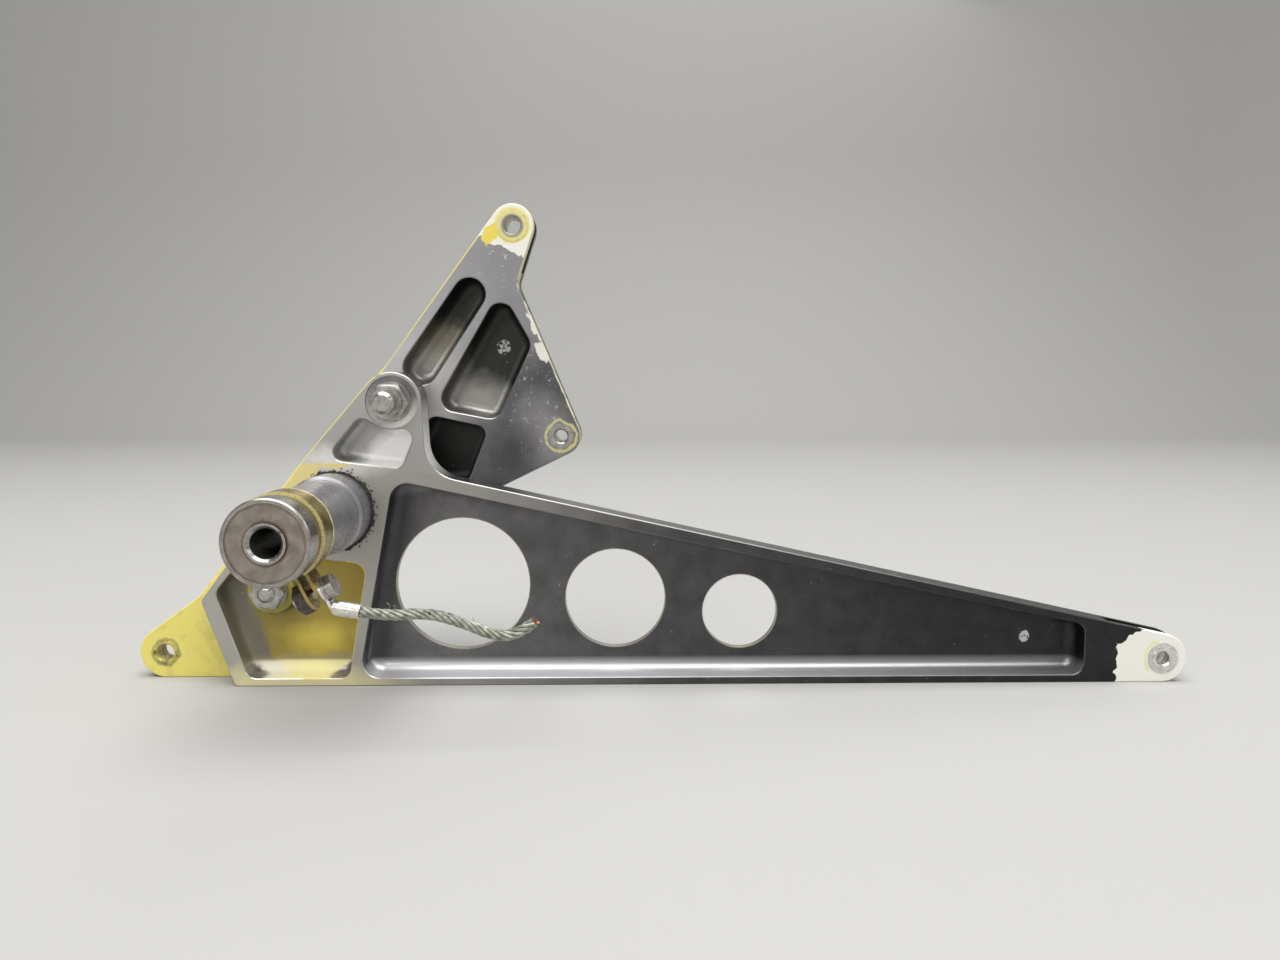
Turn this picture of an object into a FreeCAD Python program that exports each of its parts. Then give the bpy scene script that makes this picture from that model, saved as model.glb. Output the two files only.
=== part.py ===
import FreeCAD, Part
import math
import os
import re

import Sketcher

os.makedirs("parts", exist_ok=True)

# Flap bellcrank. X runs along the long arm, Y along the pivot from the front
# (where the pivot barrel stands out) to the back, and Z is up. The origin is
# on the pivot axis, at the front face of the front lever. Millimetres.
doc = FreeCAD.newDocument("FlapBellcrank")
sizes = doc.addObject("Spreadsheet::Sheet", "Sizes")

SIZES = {
    # front lever
    "front_thick": 12.7,
    "front_web": 3.0,
    "rim_width": 3.0,
    "tip_x": 312.3,
    "tip_z": -57.2,
    "tip_radius": 9.2,
    "boss_x": 22.4,
    "boss_z": 40.2,
    "boss_radius": 10.9,
    "throat_x": 48.0,
    "throat_z": 25.2,
    "throat_radius": 14.0,
    "heel_x": -48.0,
    "heel_z": -33.8,
    "toe_x": -37.2,
    "ridge_x": -7.0,
    "ridge_z": 18.4,
    "ridge_radius": 3.0,
    "corner_radius": 2.0,
    "pocket_radius": 6.5,
    "floor_fillet": 4.2,
    "small_fillet": 3.3,
    "rib_top_x": 27.2,
    "rib_top_z": 3.6,
    "rib_foot_x": 15.7,
    "pocket_end_x": 277.5,
    "pocket_end_radius": 4.6,
    "arm_taper": 0.225,
    "hole_one_x": 46.0,
    "hole_one_z": -29.4,
    "hole_one_radius": 25.4,
    "hole_two_x": 104.1,
    "hole_two_z": -35.2,
    "hole_two_radius": 19.05,
    "hole_three_x": 151.9,
    "hole_three_z": -40.5,
    "hole_three_radius": 14.3,
    "well_left_x": -39.7,
    "well_left_z": -31.5,
    "well_radius": 4.5,
    "well_peak_x": -21.6,
    "well_peak_z": -9.6,
    "well_peak_radius": 4.5,
    "well_right_x": 6.3,
    "well_top_z": -24.0,
    "well_foot_x": 0.3,
    "well_floor_x": -30.3,
    "hub_ring": 18.6,
    "eye_left_x": 4.2,
    "eye_left_z": 21.9,
    "eye_right_x": 23.1,
    "eye_right_z": 19.4,
    "eye_top_x": 11.3,
    "eye_top_z": 30.4,
    "eye_side_x": 26.1,
    "eye_side_z": 26.6,
    "eye_radius": 3.6,
    # rear lever
    "rear_thick": 15.9,
    "rear_web": 3.2,
    "top_x": 66.0,
    "top_z": 105.4,
    "top_radius": 8.0,
    "side_x": 83.6,
    "side_z": 26.8,
    "side_radius": 7.3,
    "neck_x": 72.7,
    "neck_z": 84.3,
    "neck_radius": 5.0,
    "lug_x": -69.4,
    "lug_radius": 9.8,
    "lug_thick": 8.0,
    "lug_step_x": -54.0,
    "elbow_x": -59.5,
    "elbow_z": -30.7,
    "elbow_radius": 5.5,
    "hip_x": -10.6,
    "hip_z": 17.7,
    "hip_radius": 3.0,
    "waist_x": 10.3,
    "waist_z": 60.1,
    "waist_radius": 10.0,
    "foot_x": -20.0,
    "foot_radius": 9.0,
    "armpit_x": 21.5,
    "armpit_z": -22.9,
    "armpit_radius": 10.0,
    "slot_low_x": 30.8,
    "slot_low_z": 52.7,
    "slot_low_radius": 6.6,
    "slot_high_x": 49.6,
    "slot_high_z": 80.1,
    "slot_high_radius": 6.1,
    "panel_top_x": 61.2,
    "panel_top_z": 71.6,
    "panel_side_x": 67.0,
    "panel_side_z": 61.2,
    "panel_low_x": 56.6,
    "panel_low_z": 38.7,
    "panel_left_x": 43.6,
    "panel_left_z": 41.2,
    "panel_radius": 5.2,
    "dark_left_x": 36.3,
    "dark_left_z": 30.6,
    "dark_right_x": 51.3,
    "dark_right_z": 27.4,
    "dark_foot_x": 45.8,
    "dark_foot_z": 13.2,
    "dark_hub_x": 27.6,
    "dark_hub_z": 12.4,
    "dark_radius": 3.6,
    # forked ends and their bushes
    "fork_gap": 6.4,
    "fork_depth": 20.0,
    "top_fork_depth": 16.5,
    "bush_outer": 5.85,
    "bush_bore": 2.42,
    "top_bush_bore": 3.18,
    "bush_stand": 0.2,
    "bush_lip": 4.1,
    "bush_lip_stand": 0.3,
    "bush_chamfer": 0.5,
    "lug_bush_outer": 4.8,
    "lug_bush_bore": 3.18,
    # pivot barrel and its bearings
    "barrel_radius": 13.2,
    "barrel_bore": 11.4,
    "collar_radius": 14.2,
    "collar_length": 13.6,
    "collar_step": 0.6,
    "barrel_front": 66.0,
    "barrel_back": 5.0,
    "cup_flange": 7.5,
    "cup_flange_radius": 13.8,
    "cup_reach": 14.0,
    "cup_bore": 9.5,
    "cup_edge": 0.5,
    "seal_thick": 1.4,
    "seal_recess": 0.3,
    "seal_radius": 12.3,
    "needle_radius": 1.5,
    "needle_length": 11.0,
    "needle_count": 15,
    "sleeve_radius": 6.35,
    "sleeve_bore": 4.7625,
    "sleeve_stand": 0.4,
    "sleeve_chamfer": 0.8,
    # joining bolts
    "bolt_radius": 3.97,
    "bolt_head_flats": 12.7,
    "bolt_head_thick": 5.0,
    "washer_radius": 7.4,
    "washer_thick": 1.6,
    "nut_flats": 12.7,
    "nut_thick": 6.8,
    "bolt_end": 7.4,
    "bolt_chamfer": 1.1,
    "spot_radius": 9.6,
    "spot_depth": 0.5,
    "nut_collar_radius": 5.2,
    "nut_collar": 2.0,
    "hex_chamfer": 0.7,
    "low_bolt_x": -25.0,
    "low_bolt_z": -30.7,
    "low_bolt_radius": 3.175,
    "low_boss_radius": 8.8,
    "low_boss_height": 6.2,
    "low_flats": 11.1,
    "low_nut_thick": 4.4,
    "low_washer_radius": 6.4,
    "low_bolt_end": 1.6,
    # bonding clamp, its screw and the cable's terminal
    "clamp_setback": 5.0,
    "clamp_width": 11.0,
    "clamp_thick": 1.0,
    "clamp_angle": 63.7,
    "clamp_gap": 2.6,
    "ear_width": 9.4,
    "screw_reach": 7.9,
    "screw_radius": 2.08,
    "screw_head_radius": 3.9,
    "screw_head_thick": 2.6,
    "screw_washer_radius": 4.2,
    "screw_washer_thick": 0.9,
    "screw_nut_flats": 8.7,
    "screw_nut_thick": 3.6,
    "screw_end": 1.4,
    "terminal_thick": 1.0,
    "terminal_radius": 4.4,
    "tongue_width": 4.6,
    "tongue_reach": 6.4,
    "crimp_bend": 53.7,
    "crimp_radius": 2.5,
    "crimp_length": 8.6,
    "cable_radius": 1.85,
    # broken edges and clearances
    "edge_break": 0.35,
    "press_gap": 0.02,
    "running_gap": 0.05,
    "slip_gap": 0.15,
    # how far a cutting tool passes the material, and its corners
    "over_cut": 1.0,
    "side_cut": 4.0,
    "cutter_corner": 0.5,
}

for row, (word, number) in enumerate(SIZES.items(), start=1):
    sizes.set("A%d" % row, word)
    sizes.set("B%d" % row, str(number))
    sizes.setAlias("B%d" % row, word)
doc.recompute()

AXIS_TO_BACK = FreeCAD.Rotation(FreeCAD.Vector(1, 0, 0), -90)


def bound(text):
    """The expression with each size's name led by the sheet's."""
    return re.sub(r"[a-z]+(?:_[a-z]+)+", lambda word: "Sizes." + word.group(0), text)


def value(text):
    """The number that an expression of sizes comes to."""
    return float(sizes.evalExpression(bound(text)))


def tie(thing, prop, text):
    """Bind one property of an object to an expression of sizes."""
    thing.setExpression(prop, bound(text))


def new_body(label):
    body = doc.addObject("PartDesign::Body", label)
    body.Label = label
    return body


def plane_of(body, role):
    for feature in body.Origin.OriginFeatures:
        if feature.Role == role:
            return feature


def new_sketch(body, role, name, depth="0"):
    """A sketch on an origin plane of its body; on XZ, depth is its Y."""
    sketch = body.newObject("Sketcher::SketchObject", name)
    sketch.AttachmentSupport = [(plane_of(body, role), "")]
    sketch.MapMode = "FlatFace"
    if role == "XZ_Plane":
        tie(sketch, "AttachmentOffset.Base.z", "-(%s)" % depth)
    return sketch


def fix(sketch, geometry, point, x_text, z_text):
    """Hold a point of the sketch at two expressions of sizes."""
    for kind, text in (("DistanceX", x_text), ("DistanceY", z_text)):
        index = sketch.addConstraint(
            Sketcher.Constraint(kind, -1, 1, geometry, point, value(text)))
        name = "%s_%d" % (kind, index)
        sketch.renameConstraint(index, name)
        tie(sketch, "Constraints." + name, text)


def fix_radius(sketch, geometry, text):
    index = sketch.addConstraint(Sketcher.Constraint("Radius", geometry, value(text)))
    name = "Radius_%d" % index
    sketch.renameConstraint(index, name)
    tie(sketch, "Constraints." + name, text)


def hole(sketch, x_text, z_text, radius_text):
    centre = FreeCAD.Vector(value(x_text), value(z_text), 0)
    circle = Part.Circle(centre, FreeCAD.Vector(0, 0, 1), value(radius_text))
    geometry = sketch.addGeometry(circle, False)
    fix(sketch, geometry, 3, x_text, z_text)
    fix_radius(sketch, geometry, radius_text)


def belt(sketch, corners):
    """A closed outline, counterclockwise, of lines that touch round corners.

    Each corner is (x, z, radius, bend). The bend is 1 where the outline turns
    left round the corner and -1 where it turns right round it.
    """
    count = len(corners)
    centres = [FreeCAD.Vector(value(c[0]), value(c[1]), 0) for c in corners]
    radii = [value(c[2]) * c[3] for c in corners]
    normals = []
    for i in range(count):
        step = centres[(i + 1) % count] - centres[i]
        swing = math.acos((radii[i] - radii[(i + 1) % count]) / step.Length)
        angle = math.atan2(step.y, step.x) - swing
        normals.append(FreeCAD.Vector(math.cos(angle), math.sin(angle), 0))
    lines = []
    arcs = []
    for i in range(count):
        j = (i + 1) % count
        start = centres[i] + normals[i] * radii[i]
        end = centres[j] + normals[i] * radii[j]
        lines.append(sketch.addGeometry(Part.LineSegment(start, end), False))
    for i in range(count):
        first = normals[i - 1] * math.copysign(1, radii[i])
        last = normals[i] * math.copysign(1, radii[i])
        if radii[i] < 0:
            first, last = last, first
        circle = Part.Circle(centres[i], FreeCAD.Vector(0, 0, 1), abs(radii[i]))
        begin = math.atan2(first.y, first.x)
        finish = math.atan2(last.y, last.x)
        arc = Part.ArcOfCircle(circle, begin, finish)
        arcs.append(sketch.addGeometry(arc, False))
    for i in range(count):
        entry, leave = (1, 2) if radii[i] > 0 else (2, 1)
        sketch.addConstraint(Sketcher.Constraint("Tangent", lines[i - 1], 2, arcs[i], entry))
        sketch.addConstraint(Sketcher.Constraint("Tangent", arcs[i], leave, lines[i], 1))
        fix(sketch, arcs[i], 3, corners[i][0], corners[i][1])
        fix_radius(sketch, arcs[i], corners[i][2])


def pad(body, sketch, length, name):
    """Material from the sketch towards the back."""
    feature = body.newObject("PartDesign::Pad", name)
    feature.Profile = sketch
    feature.Reversed = True
    tie(feature, "Length", length)
    doc.recompute()
    return feature


def pocket(body, sketch, length, name):
    """A cut from the sketch towards the back, checked by the volume it takes."""
    before = body.Shape.Volume
    feature = body.newObject("PartDesign::Pocket", name)
    feature.Profile = sketch
    tie(feature, "Length", length)
    doc.recompute()
    if body.Shape.Volume > before - 0.5:
        raise RuntimeError(name + " cuts nothing")
    return feature


def floor_edges(body, sketch, depth):
    """The edges at one depth that lie straight behind a sketch's outline."""
    face = sketch.Shape.BoundBox.YMin
    found = []
    for number, edge in enumerate(body.Shape.Edges, start=1):
        box = edge.BoundBox
        if abs(box.YMin - depth) > 0.01 or abs(box.YMax - depth) > 0.01:
            continue
        middle = edge.valueAt((edge.FirstParameter + edge.LastParameter) / 2)
        ahead = Part.Vertex(middle.x, face, middle.z)
        if sketch.Shape.distToShape(ahead)[0] < 0.01:
            found.append("Edge%d" % number)
    return found


def round_floor(body, sketch, depth, name, size="floor_fillet"):
    """The milling cutter's round between a pocket's floor and its walls."""
    before = body.Shape.Volume
    base = body.Tip
    feature = body.newObject("PartDesign::Fillet", name)
    feature.Base = (base, floor_edges(body, sketch, value(depth)))
    tie(feature, "Radius", size)
    doc.recompute()
    if body.Shape.Volume < before:
        raise RuntimeError(name + " takes material away")


def break_edges(body, depth, name):
    """A small chamfer along every outline at one depth, apart from round bores."""
    plane = value(depth)
    found = []
    for number, edge in enumerate(body.Shape.Edges, start=1):
        box = edge.BoundBox
        if abs(box.YMin - plane) < 0.01 and abs(box.YMax - plane) < 0.01 and not edge.isClosed():
            found.append("Edge%d" % number)
    base = body.Tip
    feature = body.newObject("PartDesign::Chamfer", name)
    feature.Base = (base, found)
    tie(feature, "Size", "edge_break")
    doc.recompute()


def turned(label, points):
    """A body turned about the pivot's Y axis from (radius, y) points."""
    body = new_body(label)
    sketch = new_sketch(body, "XY_Plane", label + "_profile")
    spots = [FreeCAD.Vector(value(r), value(y), 0) for r, y in points]
    count = len(spots)
    lines = []
    for i in range(count):
        edge = Part.LineSegment(spots[i], spots[(i + 1) % count])
        lines.append(sketch.addGeometry(edge, False))
    for i in range(count):
        sketch.addConstraint(Sketcher.Constraint("Coincident", lines[i - 1], 2, lines[i], 1))
        fix(sketch, lines[i], 1, points[i][0], points[i][1])
    feature = body.newObject("PartDesign::Revolution", label + "_turn")
    feature.Profile = sketch
    feature.ReferenceAxis = (sketch, ["V_Axis"])
    feature.Angle = 360
    doc.recompute()
    return body


def rod(name, x, z, radius, start, length):
    """A cylinder along Y."""
    cylinder = doc.addObject("Part::Cylinder", name)
    cylinder.Placement = FreeCAD.Placement(FreeCAD.Vector(), AXIS_TO_BACK)
    tie(cylinder, "Radius", radius)
    tie(cylinder, "Height", length)
    tie(cylinder, "Placement.Base.x", x)
    tie(cylinder, "Placement.Base.y", start)
    tie(cylinder, "Placement.Base.z", z)
    return cylinder


def hexagon(name, x, z, flats, start, length):
    """A six-sided prism along Y."""
    prism = doc.addObject("Part::Prism", name)
    prism.Polygon = 6
    prism.Placement = FreeCAD.Placement(FreeCAD.Vector(), AXIS_TO_BACK)
    tie(prism, "Circumradius", "%s / sqrt(3)" % flats)
    tie(prism, "Height", length)
    tie(prism, "Placement.Base.x", x)
    tie(prism, "Placement.Base.y", start)
    tie(prism, "Placement.Base.z", z)
    return prism


def cone(name, x, z, first, last, start, length):
    """A cone along Y from the first radius to the last."""
    shape = doc.addObject("Part::Cone", name)
    shape.Placement = FreeCAD.Placement(FreeCAD.Vector(), AXIS_TO_BACK)
    tie(shape, "Radius1", first)
    tie(shape, "Radius2", last)
    tie(shape, "Height", length)
    tie(shape, "Placement.Base.x", x)
    tie(shape, "Placement.Base.y", start)
    tie(shape, "Placement.Base.z", z)
    return shape


def cut(label, base, tool):
    result = doc.addObject("Part::Cut", label)
    result.Label = label
    result.Base = base
    result.Tool = tool
    return result


def fuse(label, pieces):
    result = doc.addObject("Part::MultiFuse", label)
    result.Label = label
    result.Shapes = pieces
    return result


def ring(label, x, z, outer, inner, start, length):
    """A plain ring along Y: a bush, washer or race."""
    solid = rod(label + "_solid", x, z, outer, start, length)
    bore = rod(label + "_bore", x, z, inner, "(%s) - over_cut" % start,
               "(%s) + over_cut * 2" % length)
    return cut(label, solid, bore)


# Places along Y that several pieces share.
FRONT_FLOOR = "front_thick - front_web"
REAR_FACE = "front_thick"
REAR_BACK = "front_thick + rear_thick"
REAR_FLOOR = "front_thick + rear_thick - rear_web"
BOTTOM = "tip_z - tip_radius"
BARREL_END = "front_thick + rear_thick + barrel_back"
CUP_FRONT = "-barrel_front - cup_flange"
CUP_BACK = "front_thick + rear_thick + barrel_back + cup_flange"


# The front lever: a plate with the long arm, milled out from its front.
def make_front_lever():
    body = new_body("front_lever")
    outline = new_sketch(body, "XZ_Plane", "front_outline")
    belt(outline, [
        ("toe_x", "tip_z - tip_radius + corner_radius", "corner_radius", 1),
        ("tip_x", "tip_z", "tip_radius", 1),
        ("throat_x", "throat_z", "throat_radius", -1),
        ("boss_x", "boss_z", "boss_radius", 1),
        ("ridge_x", "ridge_z", "ridge_radius", 1),
        ("heel_x", "heel_z", "corner_radius", 1),
    ])
    pad(body, outline, "front_thick", "front_plate")

    pocket_floor = "tip_z - tip_radius + rim_width"
    arm = new_sketch(body, "XZ_Plane", "arm_pocket_outline")
    belt(arm, [
        ("rib_foot_x", pocket_floor + " + pocket_radius", "pocket_radius", 1),
        ("pocket_end_x", pocket_floor + " + pocket_end_radius", "pocket_end_radius", 1),
        ("pocket_end_x", "tip_z + tip_radius + (tip_x - pocket_end_x) * arm_taper - rim_width"
         " - pocket_end_radius", "pocket_end_radius", 1),
        ("rib_top_x", "rib_top_z", "pocket_radius", 1),
    ])
    pocket(body, arm, FRONT_FLOOR, "arm_pocket")
    round_floor(body, arm, FRONT_FLOOR, "arm_floor_round")

    well = new_sketch(body, "XZ_Plane", "well_outline")
    belt(well, [
        ("well_floor_x", pocket_floor + " + well_radius", "well_radius", 1),
        ("well_foot_x", pocket_floor + " + well_radius", "well_radius", 1),
        ("well_right_x", "well_top_z", "well_radius", 1),
        ("0", "0", "hub_ring", -1),
        ("well_peak_x", "well_peak_z", "well_peak_radius", 1),
        ("well_left_x", "well_left_z", "well_radius", 1),
    ])
    pocket(body, well, FRONT_FLOOR, "well_pocket")
    round_floor(body, well, FRONT_FLOOR, "well_floor_round")

    eye = new_sketch(body, "XZ_Plane", "eye_outline")
    belt(eye, [
        ("eye_left_x", "eye_left_z", "eye_radius", 1),
        ("eye_right_x", "eye_right_z", "eye_radius", 1),
        ("eye_side_x", "eye_side_z", "eye_radius", 1),
        ("boss_x", "boss_z", "spot_radius + edge_break * 2", -1),
        ("eye_top_x", "eye_top_z", "eye_radius", 1),
    ])
    pocket(body, eye, FRONT_FLOOR, "eye_pocket")
    round_floor(body, eye, FRONT_FLOOR, "eye_floor_round", "small_fillet")

    low_boss = new_sketch(body, "XZ_Plane", "low_boss_outline", FRONT_FLOOR + " - low_boss_height")
    hole(low_boss, "low_bolt_x", "low_bolt_z", "low_boss_radius")
    pad(body, low_boss, "low_boss_height + front_web / 2", "low_boss")

    break_edges(body, "0", "front_edges")
    break_edges(body, "front_thick", "front_back_edges")

    spot = new_sketch(body, "XZ_Plane", "spot_outline")
    hole(spot, "boss_x", "boss_z", "spot_radius")
    pocket(body, spot, "spot_depth", "spot_face")

    windows = new_sketch(body, "XZ_Plane", "lightening_holes")
    for word in ("one", "two", "three"):
        hole(windows, "hole_%s_x" % word, "hole_%s_z" % word, "hole_%s_radius" % word)
    pocket(body, windows, "front_thick + over_cut", "lightening")

    bores = new_sketch(body, "XZ_Plane", "front_bores")
    hole(bores, "0", "0", "collar_radius + press_gap")
    hole(bores, "boss_x", "boss_z", "bolt_radius + press_gap")
    hole(bores, "low_bolt_x", "low_bolt_z", "low_bolt_radius + press_gap")
    hole(bores, "tip_x", "tip_z", "bush_outer + press_gap")
    pocket(body, bores, "front_thick + over_cut", "front_bore_cut")

    fork = new_sketch(body, "XZ_Plane", "tip_fork", "front_thick / 2 - fork_gap / 2")
    belt(fork, [
        ("tip_x - fork_depth", "tip_z - tip_radius - side_cut", "cutter_corner", 1),
        ("tip_x + fork_depth", "tip_z - tip_radius - side_cut", "cutter_corner", 1),
        ("tip_x + fork_depth", "tip_z + tip_radius + fork_depth", "cutter_corner", 1),
        ("tip_x - fork_depth", "tip_z + tip_radius + fork_depth", "cutter_corner", 1),
    ])
    pocket(body, fork, "fork_gap", "tip_fork_cut")


# The rear lever: a second plate bolted behind the first, with three arms.
def make_rear_lever():
    body = new_body("rear_lever")
    outline = new_sketch(body, "XZ_Plane", "rear_outline", REAR_FACE)
    belt(outline, [
        ("lug_x", BOTTOM + " + lug_radius", "lug_radius", 1),
        ("foot_x", BOTTOM + " + foot_radius", "foot_radius", 1),
        ("armpit_x", "armpit_z", "armpit_radius", -1),
        ("side_x", "side_z", "side_radius", 1),
        ("neck_x", "neck_z", "neck_radius", -1),
        ("top_x", "top_z", "top_radius", 1),
        ("waist_x", "waist_z", "waist_radius", -1),
        ("hip_x", "hip_z", "hip_radius", 1),
        ("elbow_x", "elbow_z", "elbow_radius", -1),
    ])
    pad(body, outline, "rear_thick", "rear_plate")

    slot = new_sketch(body, "XZ_Plane", "slot_outline", REAR_FACE)
    belt(slot, [
        ("slot_low_x", "slot_low_z", "slot_low_radius", 1),
        ("slot_high_x", "slot_high_z", "slot_high_radius", 1),
    ])
    pocket(body, slot, "rear_thick - rear_web", "slot_pocket")
    round_floor(body, slot, REAR_FLOOR, "slot_floor_round")

    panel = new_sketch(body, "XZ_Plane", "panel_outline", REAR_FACE)
    belt(panel, [
        ("panel_left_x", "panel_left_z", "panel_radius", 1),
        ("panel_low_x", "panel_low_z", "panel_radius", 1),
        ("panel_side_x", "panel_side_z", "panel_radius", 1),
        ("panel_top_x", "panel_top_z", "panel_radius", 1),
    ])
    pocket(body, panel, "rear_thick - rear_web", "panel_pocket")
    round_floor(body, panel, REAR_FLOOR, "panel_floor_round")

    dark = new_sketch(body, "XZ_Plane", "dark_outline", REAR_FACE)
    belt(dark, [
        ("dark_hub_x", "dark_hub_z", "dark_radius", 1),
        ("dark_foot_x", "dark_foot_z", "dark_radius", 1),
        ("dark_right_x", "dark_right_z", "dark_radius", 1),
        ("dark_left_x", "dark_left_z", "dark_radius", 1),
    ])
    pocket(body, dark, "rear_thick - rear_web", "dark_pocket")
    round_floor(body, dark, REAR_FLOOR, "dark_floor_round", "small_fillet")

    break_edges(body, REAR_FACE, "rear_edges")
    break_edges(body, REAR_BACK, "rear_back_edges")

    lug = new_sketch(body, "XZ_Plane", "lug_step", REAR_FACE + " + lug_thick")
    belt(lug, [
        ("lug_x - lug_radius * 2", BOTTOM + " - side_cut", "cutter_corner", 1),
        ("lug_step_x + side_cut * 2", BOTTOM + " - side_cut", "cutter_corner", 1),
        ("lug_step_x - side_cut", "elbow_z + side_cut * 2", "cutter_corner", 1),
        ("lug_x - lug_radius * 2", "elbow_z + side_cut * 2", "cutter_corner", 1),
    ])
    pocket(body, lug, "rear_thick", "lug_step_cut")

    bores = new_sketch(body, "XZ_Plane", "rear_bores", REAR_FACE)
    hole(bores, "0", "0", "collar_radius + press_gap")
    hole(bores, "boss_x", "boss_z", "bolt_radius + press_gap")
    hole(bores, "low_bolt_x", "low_bolt_z", "low_bolt_radius + press_gap")
    hole(bores, "top_x", "top_z", "bush_outer + press_gap")
    hole(bores, "side_x", "side_z", "lug_bush_outer + press_gap")
    hole(bores, "lug_x", BOTTOM + " + lug_radius", "lug_bush_outer + press_gap")
    pocket(body, bores, "rear_thick + over_cut", "rear_bore_cut")

    fork = new_sketch(body, "XZ_Plane", "top_fork", REAR_FACE + " + rear_thick / 2 - fork_gap / 2")
    belt(fork, [
        ("top_x - fork_depth", "top_z - top_fork_depth", "cutter_corner", 1),
        ("top_x + fork_depth", "top_z - top_fork_depth", "cutter_corner", 1),
        ("top_x + fork_depth", "top_z + top_radius + side_cut", "cutter_corner", 1),
        ("top_x - fork_depth", "top_z + top_radius + side_cut", "cutter_corner", 1),
    ])
    pocket(body, fork, "fork_gap", "top_fork_cut")


# The barrel passes through both levers and carries a bearing in each end.
def make_barrel():
    turned("pivot_barrel", [
        ("barrel_bore", "-barrel_front"),
        ("barrel_radius", "-barrel_front"),
        ("barrel_radius", "-collar_length - collar_step"),
        ("collar_radius", "-collar_length"),
        ("collar_radius", BARREL_END),
        ("barrel_bore", BARREL_END),
    ])


def make_bearing(side, face, inward):
    """A flanged steel cup, its needles and the seal washer, at one end of the barrel."""
    def y(text):
        return "%s + (%s) * %d" % (face, text, inward)
    turned(side + "_bearing_cup", [
        ("cup_bore", y("seal_recess + seal_thick")),
        ("seal_radius", y("seal_recess + seal_thick")),
        ("seal_radius", y("0")),
        ("cup_flange_radius - cup_edge", y("0")),
        ("cup_flange_radius", y("cup_edge")),
        ("cup_flange_radius", y("cup_flange")),
        ("barrel_bore - press_gap", y("cup_flange")),
        ("barrel_bore - press_gap", y("cup_flange + cup_reach")),
        ("cup_bore", y("cup_flange + cup_reach")),
    ])
    turned(side + "_seal_washer", [
        ("sleeve_radius + slip_gap", y("seal_recess")),
        ("seal_radius - press_gap", y("seal_recess")),
        ("seal_radius - press_gap", y("seal_recess + seal_thick - press_gap")),
        ("sleeve_radius + slip_gap", y("seal_recess + seal_thick - press_gap")),
    ])
    pitch = "sleeve_radius + needle_radius + running_gap"
    start = y("cup_flange + over_cut")
    if inward < 0:
        start = "%s - needle_length" % start
    first = rod(side + "_needle", pitch, "0", "needle_radius", start, "needle_length")
    needles = doc.addObject("Part::Feature", side + "_needles")
    needles.Label = side + "_needles"
    doc.recompute()
    count = int(value("needle_count"))
    turns = []
    for i in range(count):
        copy = first.Shape.copy()
        copy.rotate(FreeCAD.Vector(), FreeCAD.Vector(0, 1, 0), 360.0 * i / count)
        turns.append(copy)
    needles.Shape = Part.makeCompound(turns)


def make_sleeve():
    front = CUP_FRONT + " - sleeve_stand"
    back = CUP_BACK + " + sleeve_stand"
    turned("pivot_sleeve", [
        ("sleeve_bore + sleeve_chamfer", front),
        ("sleeve_radius", front),
        ("sleeve_radius", back),
        ("sleeve_bore + sleeve_chamfer", back),
        ("sleeve_bore", back + " - sleeve_chamfer"),
        ("sleeve_bore", front + " + sleeve_chamfer"),
    ])


def chamfered_hex(name, x, z, flats, start, length, outer_end):
    """A hexagon whose corners are turned off at its outer end."""
    prism = hexagon(name + "_prism", x, z, flats, start, length)
    corner = "%s / sqrt(3) + press_gap" % flats
    flank = "%s / sqrt(3) - hex_chamfer * 2" % flats
    plain = "(%s) - hex_chamfer" % length
    if outer_end == "front":
        turn = cone(name + "_turn", x, z, flank, corner, start, "hex_chamfer")
        rest = rod(name + "_rest", x, z, corner, "(%s) + hex_chamfer" % start, plain)
    else:
        turn = cone(name + "_turn", x, z, corner, flank, "(%s) + %s" % (start, plain), "hex_chamfer")
        rest = rod(name + "_rest", x, z, corner, start, plain)
    result = doc.addObject("Part::Common", name)
    result.Base = prism
    result.Tool = fuse(name + "_envelope", [turn, rest])
    return result


def make_bolt(word, x, z, radius, flats, head, washer, seat, nut_flats, nut_thick, collar, end):
    """A bolt from the back, with a washer at each side and a nut at the front."""
    reach = "(%s) - washer_thick - %s - %s" % (seat, nut_thick, end)
    under_head = REAR_BACK + " + washer_thick"
    tip = cone(word + "_bolt_tip", x, z, radius + " - bolt_chamfer", radius, reach, "bolt_chamfer")
    shank = rod(word + "_bolt_shank", x, z, radius, "(%s) + bolt_chamfer" % reach,
                "%s - ((%s) + bolt_chamfer)" % (under_head, reach))
    hexhead = chamfered_hex(word + "_bolt_hex", x, z, flats, under_head, head, "rear")
    fuse(word + "_bolt", [tip, shank, hexhead])
    ring(word + "_rear_washer", x, z, washer, radius + " + slip_gap", REAR_BACK, "washer_thick")
    ring(word + "_front_washer", x, z, washer, radius + " + slip_gap",
         "(%s) - washer_thick" % seat, "washer_thick")
    nut_start = "(%s) - washer_thick - %s" % (seat, nut_thick)
    nut = chamfered_hex(word + "_nut_hex", x, z, nut_flats, "%s + %s" % (nut_start, collar),
                        "%s - %s" % (nut_thick, collar), "front")
    if value(collar):
        nut = fuse(word + "_nut_solid", [nut, rod(word + "_nut_lock", x, z, "nut_collar_radius",
                                                  nut_start, collar)])
    bore = rod(word + "_nut_bore", x, z, radius + " + press_gap",
               nut_start + " - over_cut", nut_thick + " + over_cut * 2")
    cut(word + "_nut", nut, bore)


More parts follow.
